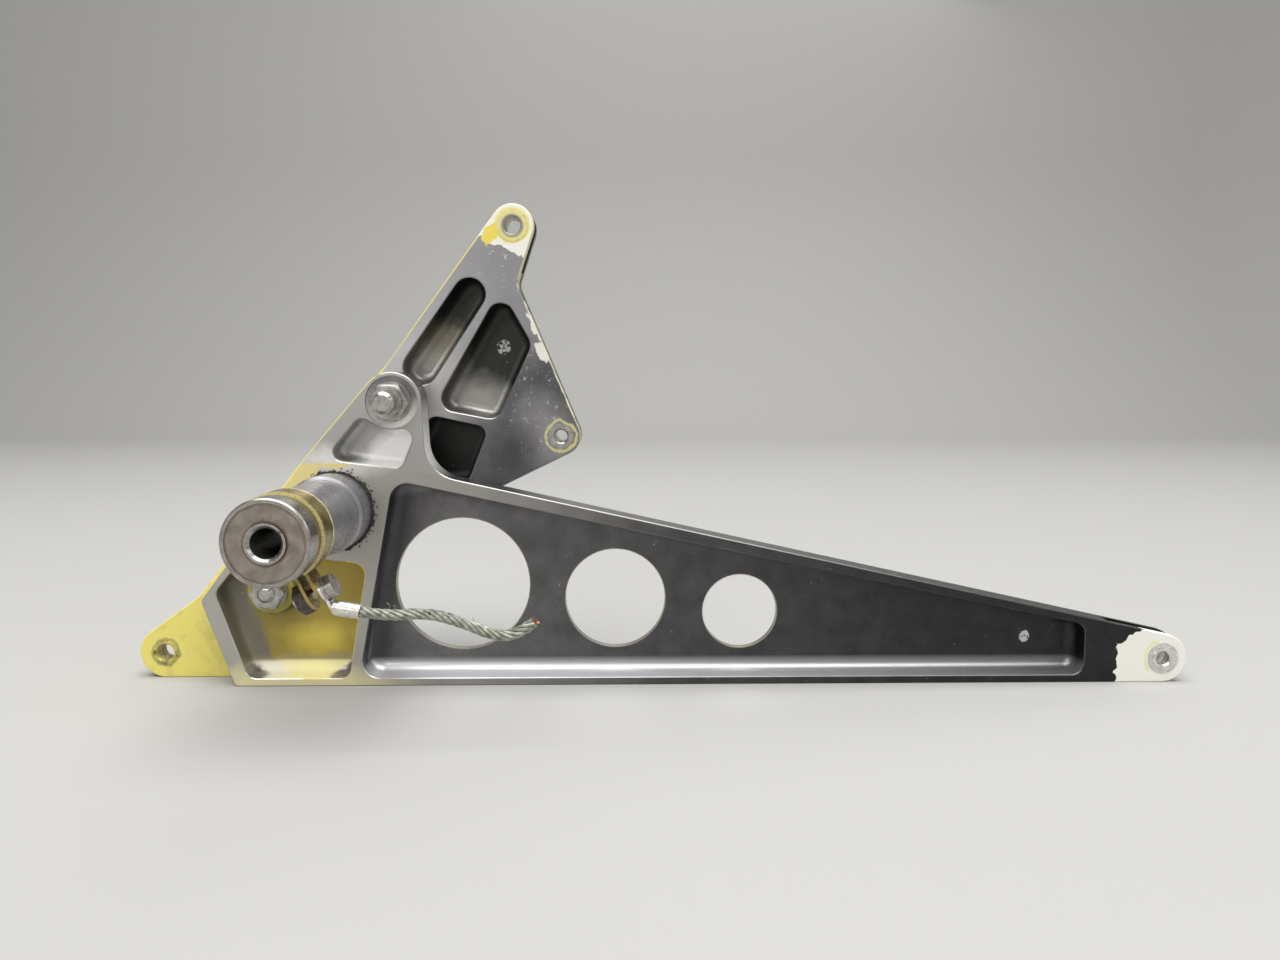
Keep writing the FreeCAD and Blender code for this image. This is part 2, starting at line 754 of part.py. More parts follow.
def bush(label, x, z, outer, bore, start, length, ends):
    """A pressed bush with a raised lip and a chamfered mouth at its open ends."""
    solids = [rod(label + "_body", x, z, outer, start, length)]
    tools = [rod(label + "_bore", x, z, bore, "(%s) - bush_lip_stand - over_cut" % start,
                 "(%s) + (bush_lip_stand + over_cut) * 2" % length)]
    if "front" in ends:
        lip = "(%s) - bush_lip_stand" % start
        solids.append(rod(label + "_front_lip", x, z, "bush_lip", lip, "bush_lip_stand"))
        tools.append(cone(label + "_front_mouth", x, z, bore + " + bush_chamfer", bore, lip,
                          "bush_chamfer"))
    if "rear" in ends:
        end = "(%s) + (%s)" % (start, length)
        solids.append(rod(label + "_rear_lip", x, z, "bush_lip", end, "bush_lip_stand"))
        tools.append(cone(label + "_rear_mouth", x, z, bore, bore + " + bush_chamfer",
                          end + " + bush_lip_stand - bush_chamfer", "bush_chamfer"))
    solid = fuse(label + "_solid", solids) if len(solids) > 1 else solids[0]
    cut(label, solid, fuse(label + "_tools", tools))


def make_bushes():
    tip_ear = "(front_thick - fork_gap) / 2"
    top_ear = "(rear_thick - fork_gap) / 2"
    lug_z = BOTTOM + " + lug_radius"
    bush("tip_front_bush", "tip_x", "tip_z", "bush_outer", "bush_bore", "-bush_stand",
         tip_ear + " + bush_stand", ["front"])
    bush("tip_rear_bush", "tip_x", "tip_z", "bush_outer", "bush_bore",
         "front_thick - " + tip_ear, tip_ear + " + bush_stand", ["rear"])
    bush("top_front_bush", "top_x", "top_z", "bush_outer", "top_bush_bore",
         REAR_FACE + " - bush_stand", top_ear + " + bush_stand", ["front"])
    bush("top_rear_bush", "top_x", "top_z", "bush_outer", "top_bush_bore",
         REAR_BACK + " - " + top_ear, top_ear + " + bush_stand", ["rear"])
    bush("side_bush", "side_x", "side_z", "lug_bush_outer", "bush_bore",
         REAR_FACE + " - bush_stand", "rear_thick + bush_stand * 2", ["front", "rear"])
    bush("lug_bush", "lug_x", lug_z, "lug_bush_outer", "lug_bush_bore",
         REAR_FACE + " - bush_stand", "lug_thick + bush_stand * 2", ["front", "rear"])


# The bonding clamp round the barrel is drawn with its ears along +X and its
# screw along Z, then each of its pieces is turned about the pivot's axis.
EAR_TOP = "clamp_gap / 2 + clamp_thick"
CLAMP_MIDDLE = "(barrel_front - clamp_setback - clamp_width / 2)"
SCREW_X = "barrel_radius + screw_reach"
TERMINAL_TOP = "clamp_gap / 2 + clamp_thick + terminal_thick"
HEAD_SEAT = "clamp_gap / 2 + clamp_thick + terminal_thick + screw_washer_thick"


def swing_to_ears(piece):
    """Turn a finished piece of the clamp to where the ears point."""
    piece.Placement = FreeCAD.Placement(
        FreeCAD.Vector(), FreeCAD.Rotation(FreeCAD.Vector(0, 1, 0), value("clamp_angle")))
    tie(piece, "Placement.Rotation.Angle", "clamp_angle * 1 deg")


def stud(name, radius, start, length, x=SCREW_X):
    """A cylinder along the clamp's screw."""
    cylinder = doc.addObject("Part::Cylinder", name)
    tie(cylinder, "Radius", radius)
    tie(cylinder, "Height", length)
    tie(cylinder, "Placement.Base.x", x)
    tie(cylinder, "Placement.Base.y", "-" + CLAMP_MIDDLE)
    tie(cylinder, "Placement.Base.z", start)
    return cylinder


def slab(name, x, length, width, z, height):
    """A flat plate centred across the clamp's width."""
    box = doc.addObject("Part::Box", name)
    tie(box, "Length", length)
    tie(box, "Width", width)
    tie(box, "Height", height)
    tie(box, "Placement.Base.x", x)
    tie(box, "Placement.Base.y", "-%s - (%s) / 2" % (CLAMP_MIDDLE, width))
    tie(box, "Placement.Base.z", z)
    return box


def make_clamp():
    inner = "barrel_radius + press_gap"
    outer = inner + " + clamp_thick"
    start = "clamp_setback - barrel_front"
    band = rod("clamp_band_outer", "0", "0", outer, start, "clamp_width")
    ears = slab("clamp_ears", "barrel_radius - over_cut", "screw_reach + over_cut", "ear_width",
                "-clamp_gap / 2 - clamp_thick", "clamp_gap + clamp_thick * 2")
    ends = stud("clamp_ear_ends", "ear_width / 2", "-clamp_gap / 2 - clamp_thick",
                "clamp_gap + clamp_thick * 2")
    whole = fuse("clamp_whole", [band, ears, ends])
    bore = rod("clamp_bore", "0", "0", inner, start + " - over_cut",
               "clamp_width + over_cut * 2")
    mouth = slab("clamp_mouth", "0", "barrel_radius * 3", "clamp_width + over_cut * 2",
                 "-clamp_gap / 2", "clamp_gap")
    screw_hole = stud("clamp_screw_hole", "screw_radius + slip_gap",
                      "-clamp_gap / 2 - clamp_thick - over_cut",
                      "clamp_gap + clamp_thick * 2 + over_cut * 2")
    clamp = cut("bonding_clamp", whole, fuse("clamp_tools", [bore, mouth, screw_hole]))
    swing_to_ears(clamp)


def make_clamp_screw():
    nut_start = "-clamp_gap / 2 - clamp_thick - screw_nut_thick"
    shank = stud("clamp_screw_shank", "screw_radius", nut_start + " - screw_end",
                 "(%s) - (%s - screw_end)" % (HEAD_SEAT, nut_start))
    head = stud("clamp_screw_head", "screw_head_radius", HEAD_SEAT, "screw_head_thick")
    swing_to_ears(fuse("clamp_screw", [shank, head]))

    disc = stud("clamp_washer_disc", "screw_washer_radius", TERMINAL_TOP, "screw_washer_thick")
    hole_tool = stud("clamp_washer_hole", "screw_radius + slip_gap", TERMINAL_TOP + " - over_cut",
                     "screw_washer_thick + over_cut * 2")
    swing_to_ears(cut("clamp_washer", disc, hole_tool))

    prism = doc.addObject("Part::Prism", "clamp_nut_prism")
    prism.Polygon = 6
    tie(prism, "Circumradius", "screw_nut_flats / sqrt(3)")
    tie(prism, "Height", "screw_nut_thick")
    tie(prism, "Placement.Base.x", SCREW_X)
    tie(prism, "Placement.Base.y", "-" + CLAMP_MIDDLE)
    tie(prism, "Placement.Base.z", nut_start)
    thread = stud("clamp_nut_bore", "screw_radius + press_gap", nut_start + " - over_cut",
                  "screw_nut_thick + over_cut * 2")
    swing_to_ears(cut("clamp_nut", prism, thread))


def make_terminal():
    """The cable's ring terminal: an eye, a tongue and a crimped barrel bent up from it."""
    eye = stud("terminal_eye", "terminal_radius", EAR_TOP, "terminal_thick")
    bend_x = SCREW_X + " + tongue_reach"
    tongue = slab("terminal_tongue", SCREW_X, "tongue_reach", "tongue_width", EAR_TOP,
                  "terminal_thick")
    crimp = doc.addObject("Part::Cylinder", "terminal_crimp")
    tie(crimp, "Radius", "crimp_radius")
    tie(crimp, "Height", "crimp_length")
    lean = 90 - value("crimp_bend")
    crimp.Placement.Rotation = FreeCAD.Rotation(FreeCAD.Vector(0, 1, 0), lean)
    tie(crimp, "Placement.Rotation.Angle", "(90 - crimp_bend) * 1 deg")
    tie(crimp, "Placement.Base.x", bend_x)
    tie(crimp, "Placement.Base.y", "-" + CLAMP_MIDDLE)
    tie(crimp, "Placement.Base.z", EAR_TOP + " + terminal_thick / 2")
    under = slab("terminal_under", "0", "barrel_radius * 3", "clamp_width * 2",
                 EAR_TOP + " - barrel_radius", "barrel_radius")
    bore = stud("terminal_hole", "screw_radius + slip_gap", EAR_TOP + " - over_cut",
                "terminal_thick + over_cut * 2")
    solid = fuse("terminal_solid", [eye, tongue, crimp])
    swing_to_ears(cut("cable_terminal", solid, fuse("terminal_tools", [under, bore])))


def crimp_mouth():
    """Where the cable leaves the terminal, and the direction in which it leaves."""
    ears = math.radians(-value("clamp_angle"))
    along = math.radians(value("crimp_bend") - value("clamp_angle"))
    reach = value(SCREW_X) + value("tongue_reach")
    rise = value(EAR_TOP) + value("terminal_thick") / 2
    x = reach * math.cos(ears) - rise * math.sin(ears)
    z = reach * math.sin(ears) + rise * math.cos(ears)
    length = value("crimp_length")
    start = FreeCAD.Vector(x + length * math.cos(along), -value(CLAMP_MIDDLE),
                           z + length * math.sin(along))
    return start, FreeCAD.Vector(math.cos(along), 0, math.sin(along))


# The cable's route after its first run, as it hangs out of the terminal.
CABLE_FIRST_RUN = 8.6
BEND_SHARE = 0.45
CABLE_ROUTE = [
    (44.0, -55.3, -25.3),
    (55.1, -54.6, -28.6),
    (65.5, -53.9, -33.4),
    (72.9, -53.4, -33.3),
    (78.4, -53.0, -29.1),
]


def make_cable():
    start, heading = crimp_mouth()
    points = [start, start + heading * CABLE_FIRST_RUN]
    points += [FreeCAD.Vector(*spot) for spot in CABLE_ROUTE]
    edges = []
    length = 0.0
    last = points[0]
    for i in range(1, len(points) - 1):
        before = points[i] - points[i - 1]
        after = points[i + 1] - points[i]
        turn = before.getAngle(after)
        shorter = min(before.Length, after.Length)
        radius = BEND_SHARE * shorter / math.tan(turn / 2)
        inward = before / -before.Length
        outward = after / after.Length
        enter = points[i] + inward * (BEND_SHARE * shorter)
        leave = points[i] + outward * (BEND_SHARE * shorter)
        middle = inward + outward
        to_centre = radius / math.cos(turn / 2)
        deepest = points[i] + middle / middle.Length * (to_centre - radius)
        edges.append(Part.LineSegment(last, enter).toShape())
        edges.append(Part.Arc(enter, deepest, leave).toShape())
        length += (enter - last).Length + radius * turn
        last = leave
        print("cable radius %.1f mm at point %d" % (radius, i))
    edges.append(Part.LineSegment(last, points[-1]).toShape())
    length += (points[-1] - last).Length
    path = Part.Wire(edges)
    ring_edge = Part.Circle(start, heading, value("cable_radius")).toShape()
    tube = path.makePipeShell([Part.Wire([ring_edge])], True, True)
    section = math.pi * value("cable_radius") ** 2
    print("cable length %.2f mm, volume %.1f of %.1f" % (length, tube.Volume, section * length))
    cable = doc.addObject("Part::Feature", "bonding_cable")
    cable.Label = "bonding_cable"
    cable.Shape = tube


make_front_lever()
make_rear_lever()
make_barrel()
make_bearing("front", CUP_FRONT, 1)
make_bearing("rear", CUP_BACK, -1)
make_sleeve()
make_bolt("upper", "boss_x", "boss_z", "bolt_radius", "bolt_head_flats", "bolt_head_thick",
          "washer_radius", "spot_depth", "nut_flats", "nut_thick", "nut_collar", "bolt_end")
make_bolt("lower", "low_bolt_x", "low_bolt_z", "low_bolt_radius", "low_flats", "low_nut_thick",
          "low_washer_radius", FRONT_FLOOR + " - low_boss_height", "low_flats", "low_nut_thick",
          "0", "low_bolt_end")
make_bushes()
make_clamp()
make_clamp_screw()
make_terminal()
make_cable()
doc.recompute()


PARTS = [
    "front_lever", "rear_lever", "pivot_barrel", "pivot_sleeve",
    "front_bearing_cup", "front_seal_washer", "front_needles",
    "rear_bearing_cup", "rear_seal_washer", "rear_needles",
    "upper_bolt", "upper_front_washer", "upper_rear_washer", "upper_nut",
    "lower_bolt", "lower_front_washer", "lower_rear_washer", "lower_nut",
    "tip_front_bush", "tip_rear_bush", "top_front_bush", "top_rear_bush",
    "side_bush", "lug_bush",
    "bonding_clamp", "clamp_screw", "clamp_washer", "clamp_nut",
    "cable_terminal", "bonding_cable",
]

for thing in doc.Objects:
    if "Invalid" in thing.State or "Error" in thing.State:
        raise RuntimeError("failed: " + thing.Name)
for name in PARTS:
    piece = doc.getObject(name)
    if piece.Shape.isNull() or not piece.Shape.isValid():
        raise RuntimeError("bad shape: " + name)
    print(name, len(piece.Shape.Solids), round(piece.Shape.Volume, 1))
for name in PARTS:
    doc.getObject(name).Shape.exportStep("parts/%s.step" % name)
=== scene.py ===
# %% [markdown]
# # A flap bellcrank
# Two milled aluminium levers are bolted face to face on one pivot barrel. The front one has a long
# arm with three lightening holes, and a short bonding cable hangs from a clamp on the barrel.
# The solids come from the CAD pack, so this lesson gives them their finishes and adds what CAD
# leaves plain: the rope's strands, its frayed wires and the crumbled sealant round the barrel.

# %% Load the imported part
import math
import random

import bmesh
import bpy
from mathutils import Matrix, Vector, noise


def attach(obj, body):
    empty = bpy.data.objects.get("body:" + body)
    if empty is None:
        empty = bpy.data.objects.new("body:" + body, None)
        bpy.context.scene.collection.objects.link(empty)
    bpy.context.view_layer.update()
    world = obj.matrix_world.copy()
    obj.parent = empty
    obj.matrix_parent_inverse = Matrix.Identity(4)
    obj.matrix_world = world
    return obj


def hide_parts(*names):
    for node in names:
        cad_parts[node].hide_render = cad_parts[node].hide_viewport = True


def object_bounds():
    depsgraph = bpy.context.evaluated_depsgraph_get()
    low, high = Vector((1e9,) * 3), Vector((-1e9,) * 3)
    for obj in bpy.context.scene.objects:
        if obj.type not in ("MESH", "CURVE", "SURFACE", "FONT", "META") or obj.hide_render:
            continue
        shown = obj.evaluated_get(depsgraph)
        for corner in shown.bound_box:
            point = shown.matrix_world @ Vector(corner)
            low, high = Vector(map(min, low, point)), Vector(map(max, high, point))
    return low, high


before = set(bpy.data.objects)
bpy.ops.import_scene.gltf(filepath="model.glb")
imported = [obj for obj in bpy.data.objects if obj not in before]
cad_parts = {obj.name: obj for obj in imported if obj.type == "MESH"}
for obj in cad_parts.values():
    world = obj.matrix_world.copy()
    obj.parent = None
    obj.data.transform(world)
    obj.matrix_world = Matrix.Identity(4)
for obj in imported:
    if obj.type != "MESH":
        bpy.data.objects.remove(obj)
cad_low, cad_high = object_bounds()
print("the part measures", [round(v * 1000, 1) for v in cad_high - cad_low], "mm")

# %% [markdown]
# ## The camera
# The picture was taken from a little over the pivot, slightly looking down, with a wide lens.
# A camera is set by where it stands, where it points and its lens, and these three numbers were
# worked out from the pivot's barrel, whose near and far ends show how strong the perspective is.

# %% Camera
CAMERA_PLACE = (0.10674, -0.38084, 0.05134)
CAMERA_TURN = (math.radians(84), 0, math.radians(-1))
LENS_MM = 29.11

bpy.ops.object.camera_add(location=CAMERA_PLACE, rotation=CAMERA_TURN)
camera = bpy.context.object
camera.data.lens = LENS_MM
camera.data.clip_start = 0.01
bpy.context.scene.camera = camera
bpy.context.scene.view_settings.view_transform = "Standard"
print("camera", LENS_MM, "mm lens,", round(-CAMERA_PLACE[1] * 1000), "mm in front of the levers")

# %% [markdown]
# ## The bonding cable
# The cable is a rope of tinned copper wires that was cut off. It leaves its crimped terminal,
# droops a little and turns up at its end. Its middle line is one smooth NURBS curve, and the
# strands are wound round the points of that curve, so the rope bends as a real one does.

# %% The rope's line
ROPE_RADIUS = 0.00185
ROPE_ROUTE = [
    (0.02316, -0.05550, -0.02491),
    (0.03163, -0.05550, -0.02640),
    (0.04400, -0.05530, -0.02530),
    (0.05510, -0.05460, -0.02860),
    (0.06550, -0.05390, -0.03340),
    (0.07290, -0.05340, -0.03330),
    (0.07840, -0.05300, -0.02910),
]

line = bpy.data.curves.new("rope_line", "CURVE")
line.dimensions = "3D"
line.resolution_u = 16
spline = line.splines.new("NURBS")
spline.points.add(len(ROPE_ROUTE) - 1)
for point, place in zip(spline.points, ROPE_ROUTE):
    point.co = (*place, 1)
spline.order_u = 3
spline.use_endpoint_u = True
line_object = bpy.data.objects.new("rope_line", line)
bpy.context.scene.collection.objects.link(line_object)
bpy.context.view_layer.update()
line_mesh = bpy.data.meshes.new_from_object(line_object)
rope_line = [v.co.copy() for v in line_mesh.vertices]
bpy.data.objects.remove(line_object)
rope_length = sum((b - a).length for a, b in zip(rope_line, rope_line[1:]))
print("rope line", len(rope_line), "points,", round(rope_length * 1000, 1), "mm")

# %% [markdown]
# ## Strands
# Six strands are laid round a thin core, and one turn of the lay takes 17.5 mm. A bump map
# would lose the dark gaps between them, so each strand is a tube of its own. Its points circle
# the middle line, in directions that turn as little as they can from one point to the next.
# Three broken wires stand off the rope, as on any old cable.

# %% Strands
STRAND_COUNT = 6
STRAND_RADIUS = 0.0006
STRAND_SIDES = 8
LAY_LENGTH = 0.0175
ROPE_STEP = 0.0005
CORE_SHARE = 0.42
WIRE_RADIUS = 0.00013
WIRE_SIDES = 5
BROKEN_WIRES = ((0.16, 0.0016), (0.19, 0.0011), (0.62, 0.0009))


def frames_along(points):
    """Each point's direction and two square directions that turn as little as they can."""
    across = Vector((0, 0, 1))
    found = []
    for i, point in enumerate(points):
        ahead = points[min(i + 1, len(points) - 1)] - points[max(i - 1, 0)]
        ahead.normalize()
        across = (across - ahead * across.dot(ahead)).normalized()
        found.append((point, ahead, across, ahead.cross(across)))
    return found


def spaced(points, step):
    """Points at even steps along a line of points."""
    kept = [points[0]]
    gone = 0.0
    for a, b in zip(points, points[1:]):
        run = (b - a).length
        while gone + run >= step:
            a = a + (b - a).normalized() * (step - gone)
            run = (b - a).length
            kept.append(a)
            gone = 0.0
        gone += run
    return kept


def tube(shape, points, radii, sides):
    """A closed tube of rings round a line of points, added to a bmesh."""
    rings = []
    for (point, _, out, side), radius in zip(frames_along(points), radii):
        ring = []
        for k in range(sides):
            angle = math.tau * k / sides
            spoke = out * math.cos(angle) + side * math.sin(angle)
            ring.append(shape.verts.new(point + spoke * radius))
        rings.append(ring)
    for low, high in zip(rings, rings[1:]):
        for k in range(sides):
            shape.faces.new((low[k], low[(k + 1) % sides], high[(k + 1) % sides], high[k]))
    shape.faces.new(rings[0][::-1])
    shape.faces.new(rings[-1])


def mesh_object(name, shape):
    """A new object from a bmesh, with its faces outwards."""
    bmesh.ops.recalc_face_normals(shape, faces=shape.faces)
    mesh = bpy.data.meshes.new(name)
    shape.to_mesh(mesh)
    shape.free()
    made = bpy.data.objects.new(name, mesh)
    bpy.context.scene.collection.objects.link(made)
    return made


rope_path = spaced(rope_line, ROPE_STEP)
rope_frames = frames_along(rope_path)
rope_shape = bmesh.new()
for strand in range(STRAND_COUNT):
    strand_points = []
    for i, (point, ahead, out, side) in enumerate(rope_frames):
        angle = math.tau * (strand / STRAND_COUNT + i * ROPE_STEP / LAY_LENGTH)
        spoke = out * math.cos(angle) + side * math.sin(angle)
        strand_points.append(point + spoke * (ROPE_RADIUS - STRAND_RADIUS))
    tube(rope_shape, strand_points, [STRAND_RADIUS] * len(strand_points), STRAND_SIDES)
tube(rope_shape, rope_path, [ROPE_RADIUS * CORE_SHARE] * len(rope_path), STRAND_SIDES)
for share, height in BROKEN_WIRES:
    point, ahead, out, side = rope_frames[int(share * len(rope_frames))]
    root = point + out * ROPE_RADIUS * 0.8
    bend = root + (out + ahead * 0.3) * height
    end = root + (out * 1.5 - ahead * 0.4) * height
    tube(rope_shape, [root, bend, end], [WIRE_RADIUS] * 3, WIRE_SIDES)
rope = mesh_object("bonding_rope", rope_shape)
print("rope strands", len(rope.data.polygons), "faces")

# %% [markdown]
# ## The frayed end
# The cut end has sprung open, and the fresh cuts show bare copper. Each wire is a short bent
# tube that leans outwards more, the nearer it is to the rope's outside. The wires and the rope
# ride with the lever, and the rope stands for the plain cable of the CAD pack.

# %% The frayed end
FRAY_WIRES = 22
FRAY_SHARE = 0.8

random.seed(7)
end_point, end_ahead, end_out, end_side = rope_frames[-1]
fray_shape = bmesh.new()
for _ in range(FRAY_WIRES):
    angle = random.uniform(0, math.tau)
    off = ROPE_RADIUS * FRAY_SHARE * math.sqrt(random.random())
    spoke = end_out * math.cos(angle) + end_side * math.sin(angle)
    root = end_point + spoke * off - end_ahead * 0.0006
    reach = random.uniform(0.0009, 0.0022)
    lean = random.uniform(0.0, 0.9) * off / ROPE_RADIUS
    middle = root + (end_ahead + spoke * lean * 0.5) * reach * 0.6
    tip = middle + (end_ahead * 0.6 + spoke * lean) * reach * 0.6
    tube(fray_shape, [root, middle, tip], [WIRE_RADIUS] * 3, WIRE_SIDES)
fray = mesh_object("rope_end_wires", fray_shape)

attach(rope, "bellcrank")
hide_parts("bonding_cable")
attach(fray, "bellcrank")
print("frayed end", FRAY_WIRES, "wires")

# %% [markdown]
# ## Sealant round the barrel
# Where the barrel's collar leaves the lever, a bead of dark sealant was pressed into the
# corner. It has aged and crumbled, more on the right than on the left. The bead is a thin ring
# whose section swells and shrinks with noise, and loose crumbs lie round it on the lever.

# %% Sealant
COLLAR_RADIUS = 0.0142
BEAD_RADIUS = 0.0007
BEAD_RING = COLLAR_RADIUS + BEAD_RADIUS * 0.4
CRUMBS = 110

bpy.ops.object.select_all(action="DESELECT")
bpy.ops.mesh.primitive_torus_add(major_radius=BEAD_RING, minor_radius=BEAD_RADIUS, major_segments=260,
                                 minor_segments=8, rotation=(math.radians(90), 0, 0))
sealant = bpy.context.object
sealant.name = "barrel_sealant"
bpy.ops.object.transform_apply(location=True, rotation=True, scale=True)
for vertex in sealant.data.vertices:
    spine = Vector((vertex.co.x, 0, vertex.co.z)).normalized() * BEAD_RING
    right = vertex.co.x / COLLAR_RADIUS
    lumps = 0.5 * noise.noise(vertex.co * 900) + 0.8 * noise.noise(vertex.co * 260)
    swell = 0.75 + 0.35 * right + lumps
    vertex.co = spine + (vertex.co - spine) * max(swell, 0.15)

random.seed(21)
crumb_shape = bmesh.new()
crumb_shape.from_mesh(sealant.data)
for _ in range(CRUMBS):
    angle = math.radians(random.gauss(5, 62))
    far = COLLAR_RADIUS + BEAD_RADIUS + abs(random.gauss(0, 0.0007)) * (1.1 + math.cos(angle)) * 0.6
    size = random.uniform(0.00012, 0.00036)
    place = Vector((far * math.cos(angle), -size * 0.4, far * math.sin(angle)))
    squash = Matrix.Diagonal((random.uniform(0.7, 1.6), 0.7, random.uniform(0.7, 1.3), 1))
    pose = Matrix.Translation(place) @ Matrix.Rotation(angle * 3, 4, "Y") @ squash
    bmesh.ops.create_icosphere(crumb_shape, subdivisions=1, radius=size, matrix=pose)
crumb_shape.to_mesh(sealant.data)
crumb_shape.free()
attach(sealant, "bellcrank")
print("sealant", len(sealant.data.polygons), "faces")

# %% [markdown]
# ## Floor
# The part stands in a small photo room: a pale floor that sweeps up into four plain walls, so
# it has the same quiet background from every side. The walls are extruded from the floor's
# edges, and a wide bevel turns every corner of the room into a sweep.

# %% Floor
FLOOR_SIZE = 4.0
SWEEP_RADIUS = 0.6
SWEEP_HEIGHT = 1.6

bpy.ops.mesh.primitive_plane_add(size=FLOOR_SIZE, location=(0, 0, cad_low.z))
floor = bpy.context.object
floor.name = "floor"
bpy.ops.object.mode_set(mode="EDIT")
bpy.ops.mesh.select_mode(type="EDGE")
bpy.ops.mesh.select_all(action="SELECT")
bpy.ops.mesh.extrude_edges_move(TRANSFORM_OT_translate={"value": (0, 0, SWEEP_HEIGHT)})
bpy.ops.object.mode_set(mode="OBJECT")
for edge in floor.data.edges:
    edge.select = any(floor.data.vertices[v].co.z < 0.01 for v in edge.vertices)
bpy.ops.object.mode_set(mode="EDIT")
bpy.ops.mesh.bevel(offset=SWEEP_RADIUS, segments=12, affect="EDGES")
bpy.ops.object.mode_set(mode="OBJECT")
bpy.ops.object.shade_smooth()
print("floor and walls", len(floor.data.polygons), "faces")

# %% [markdown]
# ## Lights
# Metal shows mostly what is around it, so the soft boxes are placed for their reflections. One in front
# at the left throws its glare on the worn faces near the pivot, a big one above draws the bright bands
# along the round pocket bottoms, and two weak ones at the right and behind lift the edges. The glare near
# the pivot and the bright bands are also painted into the coat as painted highlights. Each row below is a
# box's name, place, aim, size in metres and power in watts.

# %% Lights
SOFT_BOXES = (
    ("front_box", (-0.75, -1.75, 0.75), (0.05, 0, 0.0), (1.0, 1.1), 10.0),
    ("top_box", (0.10, -0.35, 1.7), (0.12, 0, 0.0), (2.2, 1.9), 62.0),
    ("right_box", (1.8, -1.0, 0.95), (0.15, 0, 0.0), (1.0, 1.0), 7.0),
    ("back_box", (0.3, 1.75, 1.3), (0.1, 0, 0.0), (1.2, 1.0), 9.0),
)


def soft_box(name, place, aim, size, power):
    """A rectangular lamp at a place, turned towards a point."""
    bpy.ops.object.light_add(type="AREA", location=place)
    lamp = bpy.context.object
    lamp.name = name
    lamp.data.shape = "RECTANGLE"
    lamp.data.size, lamp.data.size_y = size
    lamp.data.energy = power
    lamp.rotation_euler = (Vector(aim) - Vector(place)).to_track_quat("-Z", "Y").to_euler()


for box in SOFT_BOXES:
    soft_box(*box)
print("lamps", [box[0] for box in SOFT_BOXES])

# %% [markdown]
# ## Node helpers
# Every finish is built from nodes. One function adds a node with its settings and links, and one
# turns a colour written as on a paint card into the linear numbers that the shader expects. All
# patterns read the place on the piece in millimetres, so a scale can be thought of as a size.


# %% Helpers for materials
def linear(code):
    """An sRGB hex colour as linear RGBA."""
    parts = [int(code[i:i + 2], 16) / 255 for i in (1, 3, 5)]
    return [p / 12.92 if p <= 0.04045 else ((p + 0.055) / 1.055) ** 2.4 for p in parts] + [1.0]


def add(tree, kind, inputs=None, **settings):
    """A node with its settings and inputs. It gives back the node's first output."""
    node = tree.nodes.new("ShaderNode" + kind)
    for name, setting in settings.items():
        setattr(node, name, setting)
    for name, value in (inputs or {}).items():
        if isinstance(value, bpy.types.NodeSocket):
            tree.links.new(value, node.inputs[name])
        else:
            node.inputs[name].default_value = value
    return node.outputs[0] if node.outputs else node


def in_millimetres(tree):
    """The place on the piece, in millimetres of the CAD's frame."""
    place = tree.nodes.new("ShaderNodeTexCoord").outputs["Object"]
    return add(tree, "VectorMath", {0: place, 1: (1000, 1000, 1000)}, operation="MULTIPLY")


def new_finish(name):
    """A material, its node tree and its shader."""
    material = bpy.data.materials.new(name)
    material.use_nodes = True
    return material, material.node_tree, material.node_tree.nodes["Principled BSDF"]


def wear(nodes, material):
    """Give a material to every slot of CAD nodes."""
    for node in nodes:
        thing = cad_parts[node]
        if not thing.material_slots:
            thing.data.materials.append(material)
        for slot in thing.material_slots:
            slot.material = material


print("half grey in linear light", round(linear("#808080")[0], 3))

# %% [markdown]
# ## Room light and floor finish
# The room's own light is weak and even, so the lamps shape the metal. The floor is matt paper,
# grey enough that it stays below white right under the big lamp.

# %% World and floor finish
world = bpy.data.worlds.new("pale_room")
bpy.context.scene.world = world
world.use_nodes = True
room = world.node_tree
room.nodes.clear()
sky = add(room, "Background", {0: linear("#f1f1ef"), 1: 0.25})
add(room, "OutputWorld", {0: sky})

floor_paper, tree, shader = new_finish("pale_floor_paper")
shader.inputs["Base Color"].default_value = linear("#a9a8a5")
shader.inputs["Roughness"].default_value = 0.85
floor.data.materials.append(floor_paper)
print("room light and", floor_paper.name)

# %% [markdown]
# ## Painted levers
# The levers are milled aluminium with a dark grey satin coat over a yellow chromate primer.
# Hands and years have polished the coat off the faces round the pivot, so the metal shows there, and the
# coat is whole and nearly black towards the tip; that darkening along the arm is partly painted shade, as
# the light falls from the left. The coat is thin and lets the metal's mirror through, so it is made as a
# dark metal, whose rounds catch the lamps as bright lines. Everything on it is placed by masks, painted
# highlights and painted shade among them. A chip is an ellipse whose place was shaken by noise, a painted
# edge is a half plane, and a worn edge is the small chamfer that the CAD gives each rim, found by its
# depth, whose brightness is partly a painted edge highlight.

# %% Masks on a lever
PRIMER = "#dccd6c"
CREAM = "#e2e0d8"


def how_far(tree, place, axis):
    """A place's X, Y or Z, in millimetres."""
    return add(tree, "SeparateXYZ", {0: place}).node.outputs[axis]


def both(tree, first, second):
    """1 where both masks are."""
    return add(tree, "Math", {0: first, 1: second}, operation="MULTIPLY")


def either(tree, first, second):
    """1 where one of the masks is."""
    return add(tree, "Math", {0: first, 1: second}, operation="MAXIMUM")


def ramp_mask(tree, value, low, high):
    """0 below the first number and 1 above the second, or the other way round."""
    return add(tree, "MapRange", {0: value, 1: low, 2: high})


def beyond(tree, place, normal, distance, soft=0.3):
    """1 beyond a straight line of the lever's plane."""
    far = add(tree, "VectorMath", {0: place, 1: (normal[0], 0, normal[1])}, operation="DOT_PRODUCT")
    return ramp_mask(tree, far.node.outputs["Value"], distance, distance + soft)


